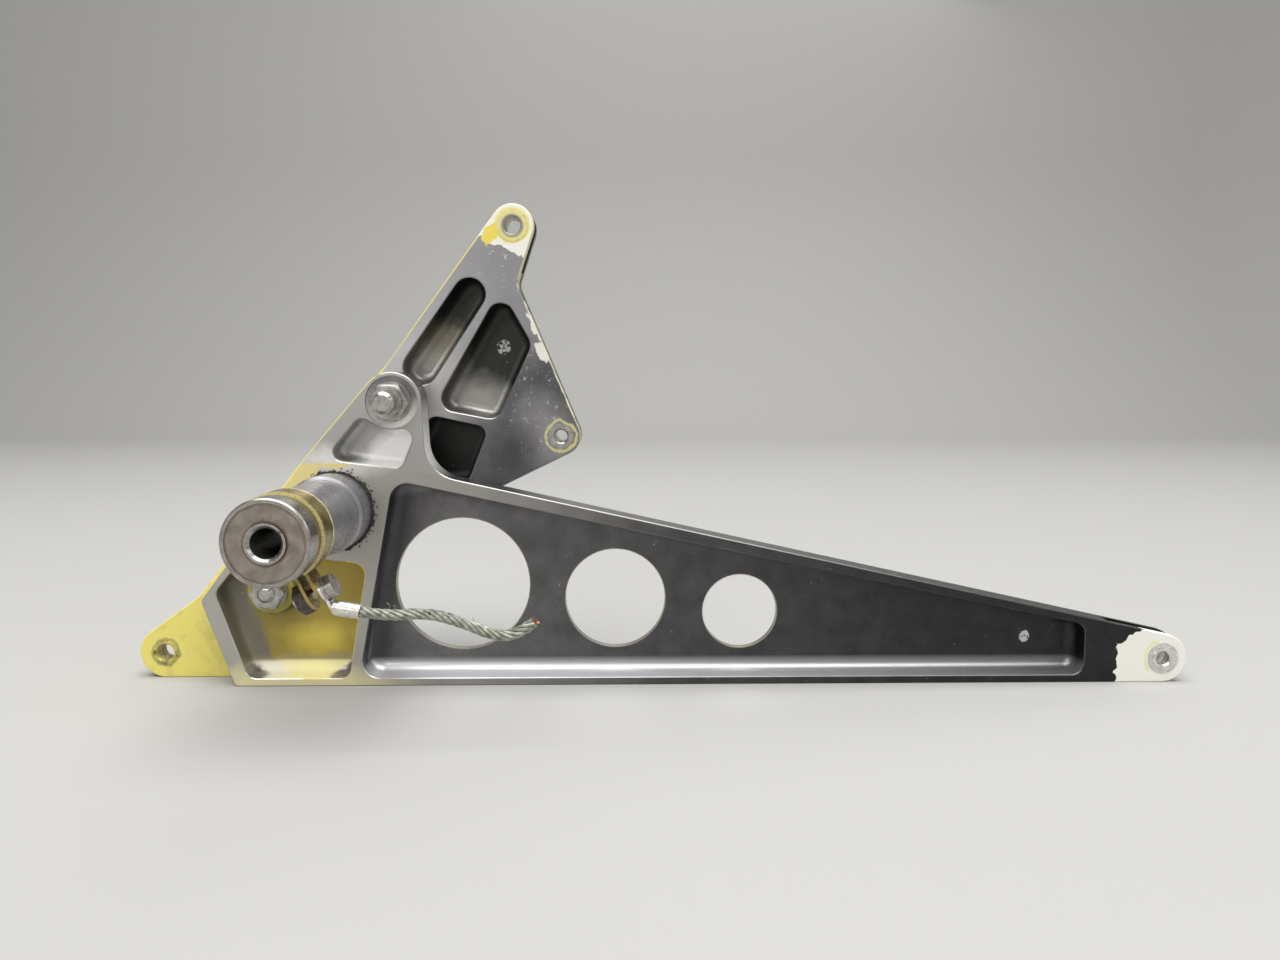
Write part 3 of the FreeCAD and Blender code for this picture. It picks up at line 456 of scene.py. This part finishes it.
def between(tree, place, low, high):
    """1 between two depths."""
    deep = how_far(tree, place, "Y")
    after = add(tree, "Math", {0: deep, 1: low}, operation="GREATER_THAN")
    before = add(tree, "Math", {0: deep, 1: high}, operation="LESS_THAN")
    return both(tree, after, before)


def oval(tree, place, middle, reach, turn=0.0, soft=0.06):
    """1 inside an ellipse of the lever's plane, given in millimetres and degrees."""
    local = add(tree, "Mapping", {"Vector": place, "Location": (middle[0], 0, middle[1]),
                                  "Rotation": (0, math.radians(-turn), 0),
                                  "Scale": (reach[0], 1, reach[1])}, vector_type="TEXTURE")
    local = add(tree, "VectorMath", {0: local, 1: (1, 0, 1)}, operation="MULTIPLY")
    far = add(tree, "VectorMath", {0: local}, operation="LENGTH")
    return ramp_mask(tree, far.node.outputs["Value"], 1 + soft, 1 - soft)


def shaken(tree, place, scale, reach):
    """The place moved about by noise, for ragged borders."""
    shake = add(tree, "TexNoise", {"Vector": place, "Scale": scale, "Detail": 6.0})
    shake = shake.node.outputs["Color"]
    shake = add(tree, "VectorMath", {0: shake, 1: (0.5, 0.5, 0.5)}, operation="SUBTRACT")
    shake = add(tree, "VectorMath", {0: shake, 3: reach}, operation="SCALE")
    return add(tree, "VectorMath", {0: place, 1: shake}, operation="ADD")


print("primer", PRIMER, "and undercoat", CREAM)

# %% [markdown]
# ## The coat as layers
# Each lever's finish is painted in the order in which a real one got it: first the coat, whose
# tone changes along the lever, then what was rubbed bare, then primer, chips and scratches. One
# class keeps the colour, the metal and the roughness in step, so that every layer is one line.
# Three shaken places serve the borders. "ragged" moves them by up to 3.5 mm, as a chip's edge
# runs, "soft" by 4.5 mm in wide curves, and "drifted" by up to 13 mm, as dirt and rubbing do.


# %% The coat
class Coat:
    """A lever's finish, built up from the coat outwards, one mask after another."""

    def __init__(self, name, tones):
        self.material, self.tree, self.shader = new_finish(name)
        tree = self.tree
        self.place = place = in_millimetres(tree)
        share = add(tree, "MapRange", {0: how_far(tree, place, "X"), 1: tones[0][0], 2: tones[-1][0]})
        ramp = tree.nodes.new("ShaderNodeValToRGB")
        span = tones[-1][0] - tones[0][0]
        while len(ramp.color_ramp.elements) < len(tones):
            ramp.color_ramp.elements.new(0.5)
        for element, (x, code) in zip(ramp.color_ramp.elements, tones):
            element.position = (x - tones[0][0]) / span
            element.color = linear(code)
        tree.links.new(share, ramp.inputs[0])

        # the coat's cloudiness, some 8 mm across, and its grain, drawn 0.5 mm coarse to show
        cloud = add(tree, "TexNoise", {"Vector": place, "Scale": 0.12, "Detail": 4.0})
        self.grain = add(tree, "TexNoise", {"Vector": place, "Scale": 2.2, "Detail": 3.0})
        shade = add(tree, "MapRange", {0: cloud, 1: 0.3, 2: 0.7, 3: 0.8, 4: 1.2})
        speck = add(tree, "MapRange", {0: self.grain, 1: 0.3, 2: 0.7, 3: 0.9, 4: 1.1})
        shade = both(tree, shade, speck)
        self.colour = add(tree, "VectorMath", {0: ramp.outputs[0], 3: shade}, operation="SCALE")
        self.metal = 0.85
        self.rough = add(tree, "MapRange", {0: self.grain, 1: 0.3, 2: 0.7, 3: 0.27, 4: 0.39})
        self.ragged = shaken(tree, place, 0.22, 7.0)
        self.drifted = shaken(tree, place, 0.1, 26.0)
        self.soft = shaken(tree, place, 0.14, 9.0)

    def lay(self, mask, code, metal, rough, share=1.0):
        """Lay a colour over what is there, where the mask is."""
        tree = self.tree
        if share < 1.0:
            mask = both(tree, mask, share)
        self.colour = add(tree, "MixRGB", {0: mask, 1: self.colour, 2: linear(code)})
        self.metal = add(tree, "Mix", {0: mask, 2: self.metal, 3: metal})
        self.rough = add(tree, "Mix", {0: mask, 2: self.rough, 3: rough})

    def scratch(self, area, amount, code):
        """Short curled scratches, about 0.25 mm wide, inside an area."""
        tree = self.tree
        curl = add(tree, "TexNoise", {"Vector": self.place, "Scale": 0.33, "Detail": 1.5,
                                      "Distortion": 0.6})
        line = add(tree, "Math", {0: curl, 1: 0.5}, operation="SUBTRACT")
        line = add(tree, "Math", {0: line}, operation="ABSOLUTE")
        line = ramp_mask(tree, line, 0.013, 0.006)
        broken = add(tree, "TexNoise", {"Vector": self.place, "Scale": 0.45, "Detail": 3.0})
        line = both(tree, line, ramp_mask(tree, broken, 1 - amount, 1 - amount + 0.03))
        self.lay(both(tree, line, area), code, 0.3, 0.4)

    def nick(self, code, amount):
        """Rare bright specks, about 0.6 mm across."""
        nick = add(self.tree, "TexNoise", {"Vector": self.place, "Scale": 0.9, "Detail": 2.0,
                                           "Distortion": 1.5})
        self.lay(ramp_mask(self.tree, nick, amount, amount + 0.02), code, 0.3, 0.4)

    def done(self):
        """Link what was built to the shader."""
        tree = self.tree
        tree.links.new(self.colour, self.shader.inputs["Base Color"])
        tree.links.new(self.metal, self.shader.inputs["Metallic"])
        tree.links.new(self.rough, self.shader.inputs["Roughness"])
        bump = add(tree, "Bump", {"Height": self.grain, "Strength": 0.12, "Distance": 0.0002})
        tree.links.new(bump, self.shader.inputs["Normal"])
        return self.material


def annulus(coat, middle, inner, outer, wobble=1.0):
    """1 on a ragged ring round a point, in millimetres."""
    ragged = shaken(coat.tree, coat.place, 0.35, 2.6 * wobble)
    wide = oval(coat.tree, ragged, middle, (outer, outer), soft=0.05)
    hole = oval(coat.tree, ragged, middle, (inner, inner), soft=0.05)
    return add(coat.tree, "Math", {0: wide, 1: hole}, operation="SUBTRACT", use_clamp=True)


def dab(coat, area, middle, reach, turn, patchy, code):
    """A plain mottled dab of grey paint, inside an area."""
    tree = coat.tree
    dab_place = shaken(tree, coat.place, 0.9, 1.2)
    mottle = add(tree, "TexNoise", {"Vector": coat.place, "Scale": 0.8, "Detail": 2.0})
    mottle = ramp_mask(tree, mottle, *patchy)
    spot = both(tree, oval(tree, dab_place, middle, reach, turn=turn), area)
    coat.lay(both(tree, spot, mottle), code, 0.3, 0.45)


print("materials so far", len(bpy.data.materials))

# %% [markdown]
# ## The front lever's finish
# The lever's face lies at a depth of 0, its rims are small chamfers down to 0.36 mm, and what
# is deeper is inside a pocket. So the depth alone tells face, rim and pocket apart. A slanted
# rib parts the primed well at the left from the arm's long pocket, and the line of that rib
# parts their colours.

# %% Front lever
RIB = (0.988, -0.153)
LEFT_OF_RIB = (-0.988, 0.153)
DOWN = (0, -1)
LOWER_BOLT = (-25, -30.7)
TIP_BUSH = (312.3, -57.2)
HOLES = (((46.0, -29.4), 25.4), ((104.1, -35.2), 19.05), ((151.9, -40.5), 14.3))

# the coat's tone darkens along the arm towards the tip: partly the coat itself, partly painted shade as
# the light falls from the left
coat = Coat("worn_grey_coat_front", [(-50, "#a5a4a1"), (20, "#7b7a7b"), (60, "#656465"),
                                     (130, "#504f50"), (220, "#393839"), (320, "#2e2d2e")])
tree, place = coat.tree, coat.place
face = between(tree, place, -1, 0.04)
rim = between(tree, place, 0.04, 0.36)
pocketed = between(tree, place, 0.36, 12)

# the face is bare and satin round the pivot and fades into the coat along the arm
bare = both(tree, ramp_mask(tree, how_far(tree, coat.drifted, "X"), 120, 10), face)
coat.lay(bare, "#aaa7a1", 0.75, 0.42)
smooth_top = both(tree, beyond(tree, place, (0.153, 0.988), 18.7, 0.5), face)
smooth_top = both(tree, smooth_top, ramp_mask(tree, how_far(tree, place, "X"), 62, 36))
coat.lay(smooth_top, "#a5a3a0", 0.8, 0.38)
# a painted highlight: the glare on the face over the pivot
glare = both(tree, oval(tree, coat.soft, (1, 18.5), (15, 4.5), turn=-6, soft=0.6), face)
coat.lay(glare, "#eceae4", 0.7, 0.36, 0.7)
low_rim = both(tree, oval(tree, coat.soft, (-16, -66), (34, 7), soft=0.4), face)
coat.lay(low_rim, "#e3dba2", 0.1, 0.42, 0.75)

# the upper pocket is bare, with a painted highlight on its lower part where the top lamp would light it;
# the well is primed
eye = both(tree, oval(tree, place, (16, 24), (26, 16), soft=0.3), pocketed)
coat.lay(eye, "#aeadab", 0.6, 0.36, 0.85)
eye_low_highlight = both(tree, eye, beyond(tree, coat.soft, (0.72, -0.69), -9.5, 6.0))
coat.lay(eye_low_highlight, "#f6f5f3", 0.1, 0.34)
in_well = both(tree, oval(tree, place, (-16, -34), (30, 32), soft=0.02),
               beyond(tree, place, LEFT_OF_RIB, -17.0, 0.2))
well = both(tree, in_well, pocketed)
coat.lay(well, "#a89433", 0.0, 0.42)
# painted shadow: the well's upper left is darker under the barrel
upper = oval(tree, coat.soft, (-26, -30), (16, 18), turn=-30, soft=0.7)
coat.lay(both(tree, well, upper), "#6d6128", 0.0, 0.45, 0.6)
# a lighter yellow band low in the well
lighter_low_band = oval(tree, coat.soft, (-6, -50), (16, 4.5), soft=0.8)
coat.lay(both(tree, well, lighter_low_band), "#d6c252", 0.0, 0.42, 0.9)
wall = both(tree, well, beyond(tree, coat.ragged, (-0.95, -0.313), 42.5, 2.4))
coat.lay(wall, "#7a776e", 0.4, 0.42, 0.9)
# painted shade in the well's lower corners
corner = oval(tree, coat.soft, (-25, -52.5), (7, 3.5), turn=-30, soft=0.9)
corner = either(tree, corner, oval(tree, coat.soft, (4, -52), (4, 6), turn=20, soft=0.9))
coat.lay(both(tree, well, corner), "#4a4330", 0.2, 0.45, 0.35)
coat.lay(both(tree, well, beyond(tree, coat.soft, DOWN, 55.5, 3.0)), "#a39b7c", 0.2, 0.42, 0.7)
# the well's bottom wall: primer lit up with a painted highlight, brightest at the right
lip = both(tree, well, beyond(tree, place, DOWN, 58.4, 1.4))
coat.lay(lip, "#eee9d6", 0.0, 0.38)
coat.lay(both(tree, lip, beyond(tree, coat.drifted, (1, 0), -26, 7.0)), "#fbf2b0", 0.0, 0.38)
boss = both(tree, oval(tree, place, LOWER_BOLT, (9.0, 9.0), soft=0.02), between(tree, place, 2, 9.4))
coat.lay(boss, "#98903c", 0.1, 0.4)
# painted shadow: a dark arc below the boss
painted_boss_shadow = both(tree, annulus(coat, LOWER_BOLT, 8.7, 9.9, 0.6), beyond(tree, coat.drifted, DOWN, 30, 5))
coat.lay(both(tree, painted_boss_shadow, well), "#4a431f", 0.1, 0.5, 0.8)

# the arm's left wall is painted dark as shade, and its bottom wall gets a painted highlight, brightest
# near the pivot
shaded_left_wall = both(tree, pocketed, beyond(tree, place, LEFT_OF_RIB, -36, 12.0))
shaded_left_wall = both(tree, shaded_left_wall, beyond(tree, place, RIB, 18.7, 0.2))
shaded_left_wall = both(tree, shaded_left_wall, beyond(tree, place, DOWN, -10, 0.3))
coat.lay(shaded_left_wall, "#2f2e30", 0.6, 0.4, 0.8)
low_wall_highlight = both(tree, pocketed, beyond(tree, place, DOWN, 57.8, 3.4))
low_wall_highlight = both(tree, low_wall_highlight, beyond(tree, place, RIB, 18.6, 0.2))
drifted_x = how_far(tree, coat.drifted, "X")
low_wall_highlight = both(tree, low_wall_highlight, add(tree, "MapRange", {0: drifted_x, 1: 20, 2: 280, 3: 0.95, 4: 0.45}))
coat.lay(low_wall_highlight, "#d2d1d4", 0.7, 0.4)

# rims: worn bright, partly a painted edge highlight, yellow round the well and along the left edges
worn = add(tree, "MapRange", {0: drifted_x, 1: 40, 2: 180, 3: 0.5, 4: 0.12})
coat.lay(both(tree, rim, worn), "#c4c1bb", 0.8, 0.34)
well_rim = both(tree, rim, in_well)
well_rim = both(tree, well_rim, beyond(tree, place, (0.93, -0.37), 10.5, 1.0))
coat.lay(well_rim, "#e6d97e", 0.0, 0.4)
edges = both(tree, beyond(tree, place, (-0.783, 0.621), 17.2, 0.4), between(tree, place, 0.04, 14))
coat.lay(edges, PRIMER, 0.0, 0.42)
patch = oval(tree, coat.ragged, (-11.5, 12.6), (7.5, 7.0), turn=40)
patch = either(tree, patch, oval(tree, coat.ragged, (-3.5, 17.4), (10, 1.7), turn=-2))
patch = both(tree, both(tree, patch, face), beyond(tree, place, DOWN, -17.9, 0.4))
coat.lay(patch, "#d6c787", 0.0, 0.45)

# the holes' walls and edges are a pale line: worn metal, partly a painted highlight on the thin walls
for middle, radius in HOLES:
    inside = oval(tree, place, middle, (radius + 0.25, radius + 0.25), soft=0.004)
    coat.lay(both(tree, inside, pocketed), "#a9a795", 0.6, 0.36, 0.75)

# the tip: chipped down to a cream undercoat
tip = beyond(tree, coat.ragged, (1, 0), 294.2, 0.25)
tip = both(tree, tip, beyond(tree, coat.ragged, (0.466, -0.885), 182.4, 0.3))
tip = both(tree, tip, between(tree, place, -1, 7))
coat.lay(tip, CREAM, 0.0, 0.5)
stain = both(tree, annulus(coat, TIP_BUSH, 6.4, 7.4), beyond(tree, coat.drifted, (-1, 0), -309, 1.0))
coat.lay(stain, "#d8d694", 0.0, 0.5, 0.8)

# a plain dab of grey paint near the arm's end, and rare nicks
dab(coat, pocketed, (262.6, -50.8), (1.9, 2.4), -15, (0.40, 0.47), "#cfcfcd")
coat.nick("#cfcdc8", 0.76)
wear(["front_lever"], coat.done())
print("front finish", len(tree.nodes), "nodes")

# %% [markdown]
# ## The rear lever's finish
# The rear lever's face lies 12.7 mm deeper, so its layers are told apart from there on. Its
# coat is worn through to cream filler and primer at the right edge and round the bushes, and
# the arm below the top lug is full of short curled scratches.

# %% Rear lever
TOP_BUSH = (66, 105.4)
SIDE_BUSH = (83.6, 26.8)
LUG_BUSH = (-69.4, -56.6)

coat = Coat("worn_grey_coat_rear", [(-80, "#a9a7a3"), (25, "#8d8c8b"), (48, "#757475"),
                                    (62, "#666567"), (90, "#5f5e60")])
tree, place = coat.tree, coat.place
face = between(tree, place, 12.6, 12.74)
rim = between(tree, place, 12.74, 13.06)
pocketed = between(tree, place, 13.06, 26)
front_ear = between(tree, place, 12, 19.1)
height = how_far(tree, place, "Z")

# the face is rubbed bright between the pockets and on the neck; by the side bush, where the face bends, a
# painted highlight and a painted shade stand for the light on the bend
between_pockets = oval(tree, coat.drifted, (26, 50), (22, 30), turn=-30, soft=0.6)
coat.lay(both(tree, between_pockets, face), "#c2bfc0", 0.8, 0.36, 0.8)
side_bush_highlight = oval(tree, coat.soft, (79, 27), (8, 12), turn=25, soft=0.7)
coat.lay(both(tree, side_bush_highlight, face), "#a5a2a4", 0.8, 0.4, 0.7)
bend_shade = oval(tree, coat.soft, (62, 19), (14, 8), turn=25, soft=0.6)
coat.lay(both(tree, bend_shade, face), "#454446", 0.8, 0.4, 0.7)
neck = beyond(tree, coat.drifted, (0.2, 0.98), 66, 14.0)
coat.lay(both(tree, neck, face), "#a3a1a5", 0.75, 0.38, 0.65)

# the pockets are greener, and darker, partly as painted shade in the recesses; painted highlights lie
# where the cutter's round would catch the top lamp
coat.lay(pocketed, "#2c2b26", 0.7, 0.4, 0.9)
slot_low_highlight = oval(tree, coat.soft, (33, 54), (11, 11), soft=0.6)
panel_low_highlight = oval(tree, coat.soft, (51, 40), (12, 8), turn=-10, soft=0.6)
coat.lay(both(tree, pocketed, either(tree, slot_low_highlight, panel_low_highlight)), "#a9a7a2", 0.85, 0.34, 0.85)
ochre = oval(tree, coat.soft, (38, 63), (6, 7), turn=60, soft=0.8)
coat.lay(both(tree, pocketed, ochre), "#8a8064", 0.4, 0.42, 0.5)
# painted shadow: the deepest pocket is painted near black
dark = both(tree, oval(tree, place, (41, 22), (16, 11.9), turn=10, soft=0.02), pocketed)
coat.lay(dark, "#1f1e1b", 0.3, 0.5, 0.92)

# rims, worn bright and partly a painted edge highlight, and primer along the left edge and on the lug
coat.lay(rim, "#c9c7c5", 0.8, 0.3, 0.6)
top_edge = both(tree, beyond(tree, place, (-0.804, 0.594), 16.9, 0.35), ramp_mask(tree, height, 46, 50))
low_edge = both(tree, beyond(tree, place, (-0.783, 0.622), 20.6, 0.35), ramp_mask(tree, height, 30, 26))
mid_edge = both(tree, ramp_mask(tree, height, 12, 16), ramp_mask(tree, height, 52, 48))
mid_edge = both(tree, beyond(tree, place, (-0.740, 0.673), 21.7, 0.35), mid_edge)
edges = either(tree, top_edge, either(tree, low_edge, mid_edge))
coat.lay(edges, PRIMER, 0.0, 0.42)
lug = oval(tree, place, (-70, -58), (36, 40), soft=0.02)
coat.lay(lug, "#e0d36e", 0.0, 0.42)
smear = add(tree, "TexNoise", {"Vector": place, "Scale": 0.14, "Detail": 5.0, "Distortion": 0.8})
coat.lay(both(tree, lug, ramp_mask(tree, smear, 0.5, 0.7)), "#b8ab5a", 0.0, 0.5, 0.5)
coat.lay(both(tree, lug, annulus(coat, LUG_BUSH, 4.4, 5.6)), "#8d8560", 0.1, 0.5, 0.7)

# round the two bushes and at the right edge the coat is chipped to cream and primer
top = both(tree, beyond(tree, coat.ragged, (0.384, 0.923), 113.6, 0.3), front_ear)
coat.lay(top, CREAM, 0.0, 0.5)
coat.lay(both(tree, annulus(coat, TOP_BUSH, 3.0, 6.6, 0.5), front_ear), "#dcd27c", 0.0, 0.45)
cheek = oval(tree, coat.ragged, (57.4, 102.0), (2.7, 4.2), turn=-35)
coat.lay(both(tree, cheek, front_ear), "#dccb55", 0.0, 0.45)
coat.lay(both(tree, annulus(coat, SIDE_BUSH, 5.3, 6.2, 1.3), face), "#d0c884", 0.0, 0.45, 0.8)
chips = either(tree, oval(tree, coat.ragged, (73.6, 68.5), (1.2, 6.0), turn=22),
               oval(tree, coat.ragged, (77.2, 58.6), (2.6, 4.0), turn=30))
chips = both(tree, chips, between(tree, place, 12, 20))
coat.lay(chips, "#d6d4ca", 0.0, 0.5)
right_edge = beyond(tree, coat.ragged, (0.928, 0.373), 94.0, 0.3)
coat.lay(both(tree, right_edge, between(tree, place, 12.74, 20)), "#d2cfa4", 0.0, 0.5, 0.9)

# curled scratches below the top lug and on the right face
scuffed = either(tree, oval(tree, place, (60, 90), (12, 9), soft=0.4),
                 oval(tree, place, (74, 42), (10, 18), soft=0.4))
coat.scratch(both(tree, scuffed, face), 0.45, "#c3c1c6")
dab(coat, pocketed, (61.0, 60.6), (2.6, 2.8), 0.0, (0.44, 0.52), "#b9b9b7")
coat.nick("#cfcdc8", 0.76)
wear(["rear_lever"], coat.done())
print("rear finish", len(tree.nodes), "nodes")

# %% [markdown]
# ## Plain metals
# Bearing steel is ground and a little stained, cadmium plate is soft and silvery or gold, and
# tinned copper is bright. They differ in tone, in roughness and in how dirty they are, so one
# function makes them all from those values.


# %% Metals
def metal_finish(name, light, dark, rough, stain=None, stain_share=0.6, scale=0.5, metallic=0.9):
    """Metal whose tone drifts between two colours, with stains of a third."""
    material, tree, shader = new_finish(name)
    place = in_millimetres(tree)
    cloud = add(tree, "TexNoise", {"Vector": place, "Scale": scale, "Detail": 5.0})
    drift = add(tree, "MapRange", {0: cloud, 1: 0.35, 2: 0.65})
    colour = add(tree, "MixRGB", {0: drift, 1: linear(light), 2: linear(dark)})
    if stain:
        blot = add(tree, "TexNoise", {"Vector": place, "Scale": scale * 0.6, "Detail": 6.0})
        blot = add(tree, "MapRange", {0: blot, 1: stain_share, 2: stain_share + 0.08})
        colour = add(tree, "MixRGB", {0: blot, 1: colour, 2: linear(stain)})
        shine = add(tree, "MapRange", {0: blot, 3: metallic, 4: 0.2})
        tree.links.new(shine, shader.inputs["Metallic"])
    else:
        shader.inputs["Metallic"].default_value = metallic
    fine = add(tree, "TexNoise", {"Vector": place, "Scale": scale * 6, "Detail": 2.0})
    dull = add(tree, "MapRange", {0: fine, 1: 0.3, 2: 0.7, 3: rough - 0.07, 4: rough + 0.07})
    tree.links.new(colour, shader.inputs["Base Color"])
    tree.links.new(dull, shader.inputs["Roughness"])
    bump = add(tree, "Bump", {"Height": fine, "Strength": 0.1, "Distance": 0.0001})
    tree.links.new(bump, shader.inputs["Normal"])
    return material


# sprayed satin paint, even, with a soft broad gloss
barrel_paint = metal_finish("barrel_satin_paint", "#a09ea2", "#838186", 0.3, metallic=0.6, scale=0.05)
# ground bearing steel, clean and bright, and its seal, browned by old grease
cup_steel = metal_finish("ground_bearing_steel", "#a5a19b", "#8b8781", 0.28, "#85786c", 0.66, 0.3)
seal_steel = metal_finish("stained_seal_steel", "#978f86", "#7f776f", 0.36, "#7c6a5e", 0.66, 0.25)
# polished hard steel, with rust freckles at its mouth
sleeve_steel = metal_finish("polished_sleeve_steel", "#a9a6a2", "#8b8783", 0.25, "#6e5141", 0.62, 0.8)
# cadmium plate, silvery and dull on bolts, dichromate gold on the clamp
bolt_cadmium = metal_finish("dull_cadmium_plate", "#b5b2ae", "#96938e", 0.3, "#7d776c", 0.66, 0.4)
clamp_cadmium = metal_finish("gold_cadmium_plate", "#b9a568", "#8c7841", 0.3, "#6a5a30", 0.66, 0.2)
nut_black = metal_finish("black_oxide_steel", "#5a5550", "#3d3935", 0.45, scale=0.6, metallic=0.7)
# pressed steel bushes: bare ones, and two that were painted over with primer
bush_steel = metal_finish("plain_bush_steel", "#e3e2de", "#cac8c3", 0.26, "#a19d7c", 0.68, 0.35)
primed_bush = metal_finish("primed_bush_steel", "#d9d189", "#cfc68a", 0.42, "#b4ad86", 0.6, 0.5, 0.0)
lug_paint = metal_finish("painted_lug_bush", "#cbbf62", "#a89d55", 0.45, "#6b6440", 0.55, 0.5, 0.0)
# tinned copper, bright where crimped and grey-green where the wires weathered
terminal_tin = metal_finish("bright_tinned_copper", "#ece8e2", "#cdc8c0", 0.22, "#8d8880", 0.64, 0.6)
rope_tin = metal_finish("weathered_tinned_wire", "#a9ac9f", "#6f7567", 0.5, "#4b5045", 0.6, 0.5, 0.35)
copper_wire = metal_finish("bare_copper_wire", "#c98a70", "#9c6450", 0.38, scale=1.5)
# old sealant, dry and matt
aged_sealant = metal_finish("aged_black_sealant", "#2b2d29", "#191b18", 0.7, scale=1.2, metallic=0.0)
print("materials so far", len(bpy.data.materials))

# %% [markdown]
# ## Rings of primer and grease
# On turned pieces dirt and paint follow the turning. The barrel has primer at its mouth and a
# torn line of it behind the clamp, grease has browned the seal round its bore and rim, and the
# clamp's edges are pale. Such a ring is a mask between two depths or two radii, shaken a
# little, that is mixed over the colour and the metal of a finish that is already made.


# %% Rings
def lay_over(material, mask, code, metal):
    """Mix a colour and a metallic value over a finish, where the mask is."""
    tree = material.node_tree
    shader = tree.nodes["Principled BSDF"]
    for socket, value in (("Base Color", linear(code)), ("Metallic", (metal, metal, metal, 1))):
        under = shader.inputs[socket]
        under = under.links[0].from_socket if under.is_linked else [under.default_value] * 3 + [1]
        tree.links.new(add(tree, "MixRGB", {0: mask, 1: under, 2: value}), shader.inputs[socket])


def ringed(material, bands, by_radius=False):
    """Lay ragged bands on a turned piece, each between two depths or two radii."""
    tree = material.node_tree
    place = in_millimetres(tree)
    for low, high, code, metal, share in bands:
        ragged = shaken(tree, place, 0.3, 2.2)
        measure = how_far(tree, ragged, "Y")
        if by_radius:
            flat = add(tree, "VectorMath", {0: ragged, 1: (1, 0, 1)}, operation="MULTIPLY")
            measure = add(tree, "VectorMath", {0: flat}, operation="LENGTH").node.outputs["Value"]
        mask = both(tree, ramp_mask(tree, measure, low - 0.2, low + 0.2),
                    ramp_mask(tree, measure, high + 0.2, high - 0.2))
        lay_over(material, both(tree, mask, share), code, metal)


ringed(barrel_paint, [(-67, -60.5, "#6d6142", 0.5, 1.0), (-67, -64.9, "#e3d468", 0.0, 1.0),
                      (-50.4, -48.9, "#e6dc92", 0.0, 1.0)])
ringed(seal_steel, [(6.0, 7.1, "#5d4334", 0.3, 0.75), (11.6, 13, "#6b574a", 0.4, 0.6)], by_radius=True)
ringed(clamp_cadmium, [(-62, -60.6, "#ded39b", 0.3, 0.9), (-51.0, -49, "#e9e2b4", 0.1, 0.9)])

# the primed bush shows metal on its lip
tree = primed_bush.node_tree
lip = oval(tree, in_millimetres(tree), TOP_BUSH, (4.2, 4.2), soft=0.03)
shader = tree.nodes["Principled BSDF"]
under = shader.inputs["Base Color"].links[0].from_socket
tree.links.new(add(tree, "MixRGB", {0: lip, 1: under, 2: linear("#a7a69c")}), shader.inputs["Base Color"])
tree.links.new(both(tree, lip, 0.8), shader.inputs["Metallic"])
print("rings on", barrel_paint.name, seal_steel.name, clamp_cadmium.name)

# %% [markdown]
# ## Who wears what
# Each CAD node gets its finish here, and so do the three pieces that were modelled above. What
# is bought as a set, such as a bolt with its nut and washers, has one finish.

# %% Finishes on the pieces
FASTENERS = ["upper_bolt", "upper_nut", "upper_front_washer", "upper_rear_washer", "lower_bolt",
             "lower_nut", "lower_front_washer", "lower_rear_washer", "clamp_screw", "clamp_washer"]

for material, nodes in (
    (barrel_paint, ["pivot_barrel"]),
    (cup_steel, ["front_bearing_cup", "rear_bearing_cup"]),
    (seal_steel, ["front_seal_washer", "rear_seal_washer"]),
    (sleeve_steel, ["pivot_sleeve", "front_needles", "rear_needles"]),
    (bolt_cadmium, FASTENERS + ["side_bush"]),
    (clamp_cadmium, ["bonding_clamp"]),
    (nut_black, ["clamp_nut"]),
    (bush_steel, ["tip_front_bush", "tip_rear_bush", "top_rear_bush"]),
    (primed_bush, ["top_front_bush"]),
    (lug_paint, ["lug_bush"]),
    (terminal_tin, ["cable_terminal"]),
):
    wear(nodes, material)
    print(material.name, "on", ", ".join(nodes))
sealant.data.materials.append(aged_sealant)
rope.data.materials.append(rope_tin)
fray.data.materials.append(copper_wire)
